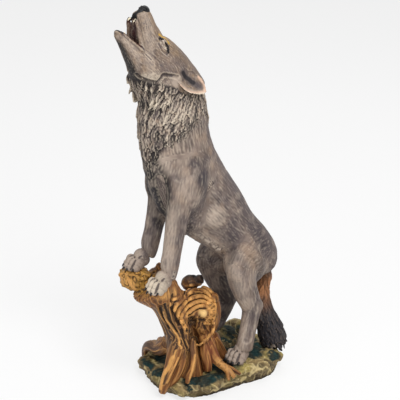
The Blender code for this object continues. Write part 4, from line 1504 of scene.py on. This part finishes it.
@dataclass
class Tail:
    """The tail: short fur at its root, long rusty strands, then a dark brush that rests on the base."""

    voxel: float = 1.3
    in_row: int = 13
    form: tuple[Station, ...] = (
        (0, 160, 200, 17, 16),
        (-2, 166, 178, 15, 14),
        (-1, 163, 156, 13, 13),
        (5, 156, 134, 13, 14),
        (16, 152, 108, 17, 17),
        (27, 155, 80, 24, 21),
        (37, 155, 54, 25, 20),
        (46, 148, 36, 14, 12),
    )

    def build(self) -> bpy.types.Object:
        """Models and paints the tail."""
        clay = Clay()
        clay.limb(self.form)
        tree = clay.surface()
        barber = Barber(21)
        rows = filled_in(self.form, 4)
        roots = []
        for i, (x, y, z, *_) in enumerate(rows[3:-5], 3):
            ahead = (Vector(rows[i + 1][:3]) - Vector(rows[i - 1][:3])).normalized()
            for k in range(self.in_row):
                turn = 2 * math.pi * (k + 0.5 * (i % 2) + barber.pick.uniform(-0.2, 0.2)) / self.in_row
                way = Vector((math.cos(turn), math.sin(turn), 0.0))
                spot, normal, _, _ = tree.ray_cast(Vector((x, y, z)) + way * 80, -way)
                if spot is None:
                    continue
                swing = Vector((-way.y, way.x, 0)) * barber.pick.uniform(-0.25, 0.25)
                size = (24 * barber.pick.uniform(0.8, 1.15), 7.4, 5.0 if i > 7 else 2.6)
                barber.lay(clay, spot - normal * 1.2, ahead + swing, normal, size)
                roots.append(spot + ahead * 14)
        skin = clay.skin("wolf_tail", self.voxel, 1)
        skin.comb([self.form], 6.0, 4)
        skin.roughen(0.5, 2.6)
        skin.paint[:] = Shade.COAT_WARM.linear()
        shades = (
            brush(((0, 176, 196), (4, 168, 176)), 26, Shade.SMOKE, 0.8),
            brush(((2, 160, 166), (10, 155, 140), (20, 154, 118)), 26, Shade.RUST, 1.0),
            brush(((24, 154, 88), (38, 155, 56), (48, 148, 26)), 64, Shade.BLUE_BLACK, 1.0),
            brush(((30, 154, 74), (40, 155, 50)), 50, Shade.BLUE_BLACK, 1.0),
        )
        skin.follow(shades, paired=False)
        heights = skin.heights_over(tree)
        # Black at the foot of the tail's locks: painted shade in the gaps between them, with the casting's
        # wash.
        skin.colour(np.clip(1.1 - heights / 2.0, 0, 1) * 0.65, Shade.BLACK)
        skin.wash(Shade.BLACK, Shade.COAT_WARM, fine=3, broad=8, deep=0.45, dry=0.14)
        skin.follow([brush(((58, 138, 44), (62, 134, 36)), 8, Shade.COAT_PALE, 0.8)], paired=False)
        return skin.hand_over(PaintedCasting("tail_paint", bump=0.7).material())


@dataclass
class Fan:
    """The ridges of the burl that fan out from the trunk, arch over and come down round its pale knob.

    The innermost and the outermost ridge are drawn on the plane that faces outward, from the knob, and the
    others lie between them.
    """

    knob: Vector = field(default_factory=lambda: Vector((36.0, -22.0, 161.0)))
    outward: Vector = field(default_factory=lambda: Vector((0.715, -0.600, 0.358)).normalized())
    right: Vector = field(default_factory=lambda: Vector((0.643, 0.766, 0.0)))
    inner: tuple[tuple[float, float], ...] = (
        (-33, -28), (-37, -15), (-32, -4), (-24, 5), (-15, 11), (-6, 14), (4, 12), (10, 5), (11, -4),
        (8, -13), (3, -20),
    )
    outer: tuple[tuple[float, float], ...] = (
        (-60, 20), (-52, 32), (-38, 44), (-23, 51), (-8, 52), (6, 47), (15, 37), (20, 24), (22, 9), (21, -6),
        (17, -20),
    )
    ridges: int = 5

    def line(self, tree: BVHTree, share: float) -> tuple[Point, ...]:
        """The course of one ridge or groove on the wood, from 0 for the innermost to 1 for the outermost."""
        up = self.outward.cross(self.right)
        made = []
        for near, far in zip(self.inner, self.outer):
            across, high = (a + (b - a) * share for a, b in zip(near, far))
            start = self.knob + self.right * across + up * high + self.outward * 150
            spot = tree.ray_cast(start, -self.outward)[0]
            if spot is not None and (spot - self.knob).dot(self.outward) > -34:
                made.append(tuple(spot))
        return tuple(made)

    def strokes(self, tree: BVHTree) -> list[Stroke]:
        """Grooves with dark stain, then ridges with gold on their crests."""
        step = 1 / (self.ridges - 1)
        made = []
        for ridge in range(self.ridges):
            made.append(Stroke(self.line(tree, (ridge - 0.5) * step), 4.2, -4.0, Shade.WOOD_DARK, 0.95))
        for ridge in range(self.ridges):
            line = self.line(tree, ridge * step)
            made.append(Stroke(line, 5.8, 3.0, Shade.WOOD, 0.9))
            made.append(Stroke(line, 4.2, 0.9, Shade.WOOD_GOLD, 0.95))
        return made


@dataclass
class Stump:
    """The gnarled stump: twisted grain, a burl that curls over, blocks of broken wood and the roots."""

    voxel: float = 1.45
    trunk: tuple[Station, ...] = (
        (-4, -34, 20, 44, 40),
        (-2, -40, 60, 34, 31),
        (2, -52, 108, 28, 26),
        (4, -66, 150, 30, 27),
        (6, -80, 185, 34, 30),
        (7, -96, 212, 37, 34),
        (5, -114, 231, 48, 38),
        (2, -121, 239, 52, 41),
    )
    roots: tuple[tuple[Knot, ...], ...] = (
        (
            (14, -60, 140, 6), (20, -68, 116, 12), (24, -82, 88, 14), (23, -94, 60, 11), (18, -101, 34, 9.5),
            (12, -103, 12, 7.5),
        ),
        (
            (22, -58, 130, 5), (26, -62, 104, 9), (30, -68, 78, 8.5), (30, -76, 54, 7.5), (24, -84, 36, 6.5),
            (16, -92, 22, 5),
        ),
        (
            (32, -44, 120, 4), (37, -50, 98, 6), (43, -53, 78, 5.5), (47, -58, 62, 5), (46, -66, 46, 4.4),
            (48, -72, 34, 3.6),
        ),
        (
            (12, -8, 118, 8), (18, -4, 100, 14), (32, 0, 74, 12), (46, 4, 56, 9), (60, 10, 45, 7),
            (74, 14, 38, 5), (84, 16, 31, 3),
        ),
        ((52, 6, 51, 6), (62, 18, 42, 5), (74, 28, 35, 3.6), (80, 34, 30, 2.4)),
        ((66, 12, 42, 4.5), (76, 6, 36, 3.6), (84, 2, 30, 2.4)),
        ((30, -14, 96, 6), (34, -16, 78, 10), (38, -14, 56, 9), (40, -14, 38, 7)),
        ((-4, 14, 110, 6), (-2, 28, 84, 14), (4, 42, 56, 11), (12, 52, 34, 9)),
        (
            (-8, -50, 108, 8), (-26, -54, 86, 16), (-54, -56, 62, 13.5), (-84, -54, 56, 10.5),
            (-106, -48, 40, 9), (-113, -46, 20, 7),
        ),
        ((-56, -54, 60, 9), (-82, -30, 58, 9.5), (-102, -16, 38, 8.5)),
        ((-12, -16, 100, 7), (-28, -6, 76, 15), (-50, 22, 52, 12), (-68, 52, 28, 8)),
    )
    horn: tuple[Knot, ...] = (
        (40, 0, 140, 2.6), (42, -3, 122, 3.2), (39, -12, 108, 3.4), (37, -28, 100, 3.2), (37, -46, 103, 2.0),
    )
    burl_middle: Point = (7.0, 2.0, 143.0)
    burl_size: Point = (31.0, 35.0, 52.0)
    fan: Fan = field(default_factory=Fan)

    def core(self) -> Clay:
        """The stump's clay."""
        clay = Clay()
        clay.limb(self.trunk)
        clay.blob((10, -34, 166), (27, 38, 36), (-20, 0, 0))
        clay.blob(self.burl_middle, self.burl_size, segments=32)
        clay.blob(self.fan.knob + self.fan.outward * 1.5, (8.5, 8.5, 10.5))
        clay.blob((26, 12, 178), (8, 9, 10))
        clay.blob((-19, -8, 200), (15, 19, 15), (0, 12, 0))
        clay.blob((-8, 4, 206), (9, 10, 10))
        clay.limb(
            [
                (-60, -140, 240, 14, 14), (-50, -134, 240, 21, 17), (-30, -124, 238, 24, 19),
                (-12, -114, 234, 18, 16),
            ],
            squareness=4.5,
        )
        clay.blob((-6, -88, 248), (14, 8, 21), (12, 0, 0))
        clay.blob((4, -96, 240), (12, 10, 10))
        for course in self.roots:
            clay.rope(course, steps=4, sides=16)
        clay.rope(self.horn, sides=12)
        return clay

    def guides(self) -> list[Sequence[Sequence[float]]]:
        """Lines that the grain follows, down the trunk and out along the roots."""
        return [
            ((37, -126, 232), (37, -122, 207), (21, -102, 170), (24, -84, 140), (29, -76, 116)),
            (
                (50, -110, 228), (47, -106, 211), (42, -98, 190), (35, -86, 160), (32, -72, 130),
                (34, -60, 104),
            ),
            ((8, -150, 230), (10, -134, 200), (0, -106, 165), (-2, -88, 136), (-8, -74, 110)),
            ((-30, -130, 226), (-26, -112, 196), (-22, -86, 160), (-22, -70, 124), (-24, -58, 92)),
            ((-40, -90, 220), (-30, -70, 180), (-24, -50, 140), (-20, -34, 100), (-28, -6, 76)),
            ((0, -60, 215), (-10, -30, 190), (-20, 0, 150), (-10, 16, 110), (-2, 28, 84)),
            ((30, 16, 170), (30, 22, 140), (20, 20, 110), (18, 6, 90)),
            *self.roots,
        ]

    def cuts(self) -> list[Stroke]:
        """Grooves between the trunk and the burl, the hollow under it, painted dark as its shade, and the
        grooves of the big root.
        """
        dark = Shade.WOOD_DARK
        return [
            Stroke(
                ((50, -104, 226), (48, -104, 210), (42, -98, 190), (38, -88, 170), (35, -78, 152)), 5.5, -4.5,
                dark,
            ),
            Stroke(((24, -118, 206), (16, -102, 176), (16, -88, 146)), 5, -3.4, dark),
            Stroke(((40, -118, 214), (32, -106, 186), (26, -92, 160), (26, -80, 136)), 4.5, -3.0, dark),
            Stroke(((2, -138, 214), (0, -118, 184), (-2, -98, 152), (0, -84, 124)), 5, -3.2, dark),
            Stroke(((34, -72, 140), (33, -66, 118), (34, -62, 100), (33, -66, 80)), 4.5, -3.2, dark),
            Stroke(
                ((28, -78, 110), (30, -88, 88), (28, -100, 62), (24, -110, 36)), 4.4, -2.6, Shade.BARK, 0.8,
            ),
            Stroke(
                ((14, -78, 112), (14, -90, 88), (12, -102, 62), (8, -110, 36)), 4.4, -2.6, Shade.BARK, 0.8,
            ),
            # The hollow under the burl, cut in and painted dark and black as its shade.
            Stroke(((38, -50, 152), (33, -40, 134), (31, -34, 118), (30, -32, 106)), 12, -8.0, dark),
            Stroke(((38, -50, 146), (34, -38, 124), (32, -34, 108)), 8, -5.0, Shade.BLACK, 0.75),
            Stroke(((40, -30, 146), (42, -16, 138), (40, -6, 134)), 5, -3.2, dark),
            Stroke(((40, -24, 134), (40, -18, 120), (36, -20, 108)), 4, -2.4, dark, 0.9),
        ]

    def marks(self) -> list[Stroke]:
        """Stain laid on the wood before it is washed, with painted shade at the hollow under the burl."""
        gold = Shade.WOOD_GOLD
        return [
            brush(((-52, -136, 240), (-16, -122, 236)), 34, Shade.OCHRE, 0.7),
            brush(((-44, -146, 244), (-24, -138, 238)), 13, gold, 0.8),
            brush(((10, -148, 232), (36, -134, 232), (52, -116, 232), (48, -96, 230)), 13, gold, 0.7),
            brush(((-6, -88, 256),), 22, Shade.BARK, 0.7),
            brush(((30, -112, 196), (22, -96, 160), (22, -84, 130)), 26, Shade.BARK, 0.75),
            brush(((0, -110, 180), (-6, -90, 140), (-8, -74, 110)), 36, Shade.BARK, 0.95),
            brush(((22, -112, 200), (16, -98, 164), (14, -86, 130), (16, -78, 100)), 22, Shade.BARK, 0.9),
            brush(((36, -74, 136), (34, -62, 112), (36, -60, 90)), 17, Shade.BARK, 0.85),
            brush(((26, -108, 194), (18, -94, 152), (20, -80, 118)), 17, Shade.WOOD_DARK, 0.6),
            # Dark at the hollow under the burl: painted shade.
            brush(((36, -40, 146), (30, -36, 118)), 24, Shade.WOOD_DARK, 0.7),
            brush(((-40, -60, 64), (-84, -54, 56), (-108, -48, 38)), 30, Shade.BARK, 0.8),
            brush(((30, 4, 86), (38, 2, 68), (24, 20, 84)), 26, Shade.WOOD_RED, 0.75),
            brush(((36, -14, 78), (40, -14, 50)), 16, Shade.WOOD_RED, 0.6),
            brush(((-30, 0, 90), (-50, 20, 60)), 40, Shade.BARK, 0.7),
            brush(((50, 2, 58), (64, 10, 46), (80, 16, 36)), 9, gold, 0.6),
        ]

    def highlights(self) -> list[Stroke]:
        """Gold drawn along the crests last."""
        gold = Shade.WOOD_GOLD
        return [
            brush(((-22, -10, 206), (-6, 4, 210)), 27, Shade.BLACK, 1.0),
            Stroke(((-16, -20, 214), (-2, -4, 216)), 7, 0.0, Shade.BARK, 0.6),
            Stroke(
                (
                    (26, -112, 186), (21, -102, 170), (23, -86, 142), (29, -76, 122), (30, -76, 104),
                    (29, -92, 86),
                ),
                2.6, 1.6, gold, 0.8,
            ),
            Stroke(((26, -90, 88), (24, -100, 66), (20, -110, 48), (14, -115, 24)), 5.0, 1.2, gold, 0.8),
            Stroke(((-52, -150, 246), (-40, -148, 232), (-34, -140, 222)), 4.0, 0.6, gold, 0.7),
            Stroke(((-36, -146, 250), (-26, -140, 234), (-22, -132, 222)), 4.0, 0.6, gold, 0.7),
            Stroke(((36, -84, 88), (35, -96, 62), (30, -106, 38)), 2.4, 1.0, gold, 0.7),
            Stroke(((42, -52, 86), (48, -56, 72), (52, -64, 58), (52, -68, 46)), 2.4, 0.8, gold, 0.7),
            Stroke([knot[:3] for knot in self.horn], 3.4, 0.0, gold, 0.9),
            Stroke((tuple(self.fan.knob + self.fan.outward * 8),), 10.5, 0.0, Shade.WOOD_PALE, 1.0),
        ]

    def build(self) -> bpy.types.Object:
        """Models, carves and paints the stump."""
        skin = trimmed(self.core().skin("stump", self.voxel, 4))
        skin.mesh.calc_loop_triangles()
        tree = BVHTree.FromPolygons(
            [Vector(spot) for spot in skin.spots], [tuple(face.vertices) for face in skin.mesh.polygons]
        )
        skin.comb(self.guides(), 9.0, 8)
        skin.paint[:] = Shade.WOOD.linear()
        skin.follow(self.marks(), paired=False)
        index, close = skin.closeness(((-56, -138, 240), (-10, -116, 238)), 34.0)
        block = np.zeros(len(skin.spots))
        block[index] = np.clip(close * 4, 0, 1)
        ridges = 1 - 2.4 * np.abs(skin.noisy(10.0, 2.0, along_grain=True))
        grain = 1 - block
        skin.move(1.1 * ridges * grain)
        skin.colour(np.clip(0.2 - ridges, 0, 1) * grain, Shade.WOOD_DARK)
        skin.colour(np.clip(ridges - 0.6, 0, 1) * 0.9 * grain, Shade.WOOD_GOLD)
        skin.move(skin.facets(9.0, 4) * 4.0 * block)
        cracks = np.clip(0.16 - np.abs(skin.noisy(13.0, 5.0)), 0, 1) * 6 * block
        skin.move(-1.6 * cracks)
        skin.colour(cracks * 0.55, Shade.WOOD_DARK)
        skin.roughen(0.5, 2.4)
        skin.follow(self.cuts(), snap=True, paired=False)
        skin.follow(self.fan.strokes(tree), paired=False)
        skin.wash(Shade.WOOD_DARK, Shade.WOOD_GOLD, fine=4, broad=11, deep=0.55, dry=0.28)
        skin.follow(self.highlights(), snap=True, paired=False)
        return skin.hand_over(
            PaintedCasting("wood_paint", streak_colour=0.6, roughness=0.46, bump=0.8).material()
        )


@dataclass
class Ground:
    """The base: a slab of rock with patches of short grass."""

    rough_scale: float = 0.045
    rough_height: float = 2.6
    slab_size: float = 20.0
    slab_step: float = 4.4
    chip_size: float = 9.0
    chip_step: float = 2.0
    settling: float = 1.6
    clouds: tuple[Cloud, ...] = ((Shade.ROCK_OLIVE, 30.0, 0.8, 2.0), (Shade.EARTH, 24.0, 0.75, 6.0))
    voxel: float = 1.7
    height: float = 33.0
    sink: float = 9.0
    outline: tuple[tuple[float, float], ...] = (
        (0, -93), (30, -82), (57, -57), (67, -20), (74, 30), (80, 75), (83, 108), (74, 137), (48, 158),
        (10, 174),
        (-30, 184), (-70, 180), (-105, 150), (-125, 105), (-132, 55), (-130, 5), (-122, -40), (-95, -70),
        (-55, -88),
        (-25, -92),
    )
    rocks: tuple[tuple[Point, Point], ...] = (
        ((-58, 92, 40), (48, 42, 26)),
        ((-64, 150, 34), (34, 24, 22)),
        ((60, -26, 24), (26, 30, 16)),
        ((70, 84, 26), (22, 40, 15)),
        ((52, 60, 30), (34, 36, 12)),
        ((20, -76, 18), (40, 18, 14)),
        ((-70, -64, 22), (40, 20, 16)),
        ((-98, -30, 34), (26, 24, 18)),
        ((-104, 60, 28), (26, 50, 16)),
        ((20, 140, 26), (60, 32, 14)),
    )
    grass_spots: tuple[tuple[float, float, float], ...] = (
        (48, -52, 24), (62, -34, 16), (-20, -80, 24), (-66, -86, 20), (34, 34, 34), (0, 60, 36),
        (-60, -30, 30), (16, 100, 36),
        (-90, 20, 30), (56, -8, 20), (-20, 120, 34), (70, 132, 14), (-100, 110, 26),
    )

    def slab(self, clay: Clay) -> None:
        """The slab: the outline drawn up through five levels."""
        bm = clay.shapes
        levels = (
            (-self.sink, 0.95), (0.12 * self.height, 0.97), (0.5 * self.height, 1.0),
            (0.85 * self.height, 0.97), (self.height, 0.88),
        )
        closed = [*self.outline[-1:], *self.outline, *self.outline[:2]]
        middle = ORIGIN.to_2d()
        ring = []
        for i in range(len(self.outline)):
            for step in range(5):
                x, y = (smooth_through(column, step / 5) for column in zip(*closed[i : i + 4]))
                ring.append(bm.verts.new((x - middle.x, y - middle.y, 0)))
        edges = [bm.edges.new((ring[k - 1], ring[k])) for k in range(len(ring))]
        bmesh.ops.contextual_create(bm, geom=edges)
        last = Matrix()
        verts = ring
        for n, (z, share) in enumerate(levels):
            if n:
                grown = bmesh.ops.extrude_edge_only(bm, edges=edges)["geom"]
                verts = [part for part in grown if isinstance(part, bmesh.types.BMVert)]
                fresh = set(verts)
                edges = [e for e in grown if isinstance(e, bmesh.types.BMEdge) and fresh.issuperset(e.verts)]
            now = Matrix.Translation((middle.x, middle.y, z)) @ Matrix.Diagonal((share, share, 1, 1))
            bmesh.ops.transform(bm, matrix=now @ last.inverted(), verts=verts)
            last = now
        bmesh.ops.contextual_create(bm, geom=edges)

    def build(self) -> bpy.types.Object:
        """Models, carves and paints the base."""
        clay = Clay()
        self.slab(clay)
        for centre, radii in self.rocks:
            clay.blob(centre, radii)
        skin = clay.skin("ground", self.voxel, 6)
        rough = np.array(
            [noise.multi_fractal(Vector(spot) * self.rough_scale, 1.0, 2.1, 5) for spot in skin.spots]
        )
        slabs = self.slab_step * skin.facets(self.slab_size, 4)
        chips = self.chip_step * skin.facets(self.chip_size, 2)
        skin.move(self.rough_height * (rough - rough.mean()) + slabs + chips - self.settling)
        skin = trimmed(skin)
        grass = self.grass_share(skin)
        blades = skin.noisy(2.6, 3.0)
        skin.move(grass * (1.3 * blades + 0.6))
        skin.paint[:] = Shade.ROCK.linear()
        skin.clouded(self.clouds)
        skin.colour(np.clip((0.75 - skin.outward[:, 2]) * 1.5, 0, 1) * 0.6, Shade.ROCK_SIDE)
        skin.wash(Shade.EARTH, Shade.ROCK_PALE, fine=4, broad=10, deep=0.75, dry=0.8)
        crests = np.clip(0.13 - np.abs(skin.noisy(17.0, 7.0)), 0, 1) * 7
        skin.move(0.9 * crests)
        skin.colour(crests * 0.75, Shade.ROCK_PALE)
        skin.colour(grass * 0.97, Shade.GRASS)
        skin.colour(grass * np.clip(skin.noisy(16.0, 9.0) * 3, 0, 1), Shade.GRASS_TEAL)
        skin.colour(grass * np.clip(blades * 1.6 - 0.1, 0, 1) * 0.5, Shade.GRASS_TIP)
        # Darker towards the bottom 8 mm of the base.
        skin.colour(np.clip((8 - skin.spots[:, 2]) / 8, 0, 1) * 0.85, Shade.EARTH)
        skin.grain = skin.spots.copy()
        return skin.hand_over(
            PaintedCasting(
                "ground_paint", streak_size=0.3, streak_colour=0.5, roughness=0.7, bump=0.9,
            ).material()
        )

    def grass_share(self, skin: Skin) -> np.ndarray:
        """Where grass grows: level ground near the patches' middles."""
        share = np.zeros(len(skin.spots))
        for x, y, radius in self.grass_spots:
            away = np.hypot(skin.spots[:, 0] - x, skin.spots[:, 1] - y)
            share = np.maximum(share, np.clip((radius * 1.25 - away) / (0.5 * radius), 0, 1))
        ragged = np.array([noise.noise(Vector(spot) * 0.13) for spot in skin.spots])
        return np.clip(1.3 * share * (skin.outward[:, 2] > 0.5) + 0.7 * ragged * (share > 0) - 0.1, 0, 1)


@dataclass
class Studio:
    """The pale floor, the soft lamps and the camera."""

    azimuth: float = 50.0
    elevation: float = 21.0
    distance: float = 2.6
    target: Point = (0.021, -0.0445, 0.372)
    focal_pixels: float = 1404.0
    frame_pixels: float = 400.0
    floor_size: float = 30.0
    floor_grey: float = 0.86
    floor_roughness: float = 0.95
    floor_white: float = 0.72
    ambient: float = 0.5
    lamps: tuple[tuple[str, float, float, float, float, float], ...] = (
        ("key", 74.0, 48.0, 2.4, 1.1, 42.0),
        ("fill", 5.0, 25.0, 2.8, 1.6, 12.0),
        ("rim", 215.0, 50.0, 2.6, 1.2, 14.0),
    )

    def direction(self, azimuth: float, elevation: float) -> Vector:
        """From the object towards a viewer or a lamp."""
        a, e = math.radians(azimuth), math.radians(elevation)
        return Vector((math.sin(a) * math.cos(e), -math.cos(a) * math.cos(e), math.sin(e)))

    def aimed(self, thing: bpy.types.Object, azimuth: float, elevation: float, distance: float) -> None:
        """Puts a camera or a lamp round the object, looking at it."""
        back = self.direction(azimuth, elevation)
        right = Vector((math.cos(math.radians(azimuth)), math.sin(math.radians(azimuth)), 0.0))
        turned = Matrix((right, back.cross(right), back)).transposed().to_4x4()
        thing.matrix_world = Matrix.Translation(Vector(self.target) + back * distance) @ turned
        bpy.context.scene.collection.objects.link(thing)

    def lamp(
        self, name: str, azimuth: float, elevation: float, distance: float, size: float, power: float
    ) -> None:
        """One soft area lamp."""
        light = bpy.data.lights.new(name, "AREA")
        light.shape = "DISK"
        light.size = size
        light.energy = power
        self.aimed(bpy.data.objects.new(name, light), azimuth, elevation, distance)

    def floor(self) -> None:
        """A pale floor that looks white and still takes the shadow."""
        bm = bmesh.new()
        bmesh.ops.create_grid(bm, x_segments=1, y_segments=1, size=self.floor_size / 2)
        mesh = bpy.data.meshes.new("floor")
        bm.to_mesh(mesh)
        bm.free()
        shop = PaintShop("floor_paint")
        shop.coat(Base_Color=(*[self.floor_grey] * 3, 1.0), Roughness=self.floor_roughness)
        glow = shop.node("ShaderNodeEmission", None, {"Color": WHITE, "Strength": 1.0})
        plain = Socket(shop, shop.shader.outputs[0])
        both = shop.node("ShaderNodeMixShader", None, {0: shop.seen() * self.floor_white, 1: plain, 2: glow})
        out = next(node for node in shop.tree.nodes if node.type == "OUTPUT_MATERIAL")
        shop.feed(out.inputs["Surface"], both)
        mesh.materials.append(shop.material)
        plate = bpy.data.objects.new("floor", mesh)
        bpy.context.scene.collection.objects.link(plate)

    def world(self) -> None:
        """Even light all round, and white for the camera."""
        world = bpy.data.worlds.new("studio")
        bpy.context.scene.world = world
        world.use_nodes = True
        shop = NodeShop(world.node_tree)
        sky = shop.tree.nodes["Background"]
        shop.feed(sky.inputs["Color"], WHITE)
        shop.feed(sky.inputs["Strength"], self.ambient + shop.seen() * (1.0 - self.ambient))

    def build(self) -> None:
        """Sets the whole studio up."""
        self.floor()
        self.world()
        for lamp in self.lamps:
            self.lamp(*lamp)
        camera = bpy.data.cameras.new("camera")
        camera.sensor_width = 36.0
        camera.lens = self.focal_pixels / self.frame_pixels * camera.sensor_width
        seat = bpy.data.objects.new("camera", camera)
        self.aimed(seat, self.azimuth, self.elevation, self.distance)
        bpy.context.scene.camera = seat
        bpy.context.scene.view_settings.view_transform = "Standard"


def main() -> None:
    """Builds the figurine piece by piece, then the studio."""
    logging.basicConfig(level=logging.INFO, format="%(message)s")
    body, head = Body(), Head()
    body.build()
    body.build_paws()
    body.build_claws()
    head.build()
    head.build_eyes()
    head.build_nose()
    head.build_teeth()
    head.build_tongue()
    Mane().build()
    Tail().build()
    Stump().build()
    Ground().build()
    Studio().build()
    bpy.context.view_layer.update()


if __name__ == "__main__":
    main()
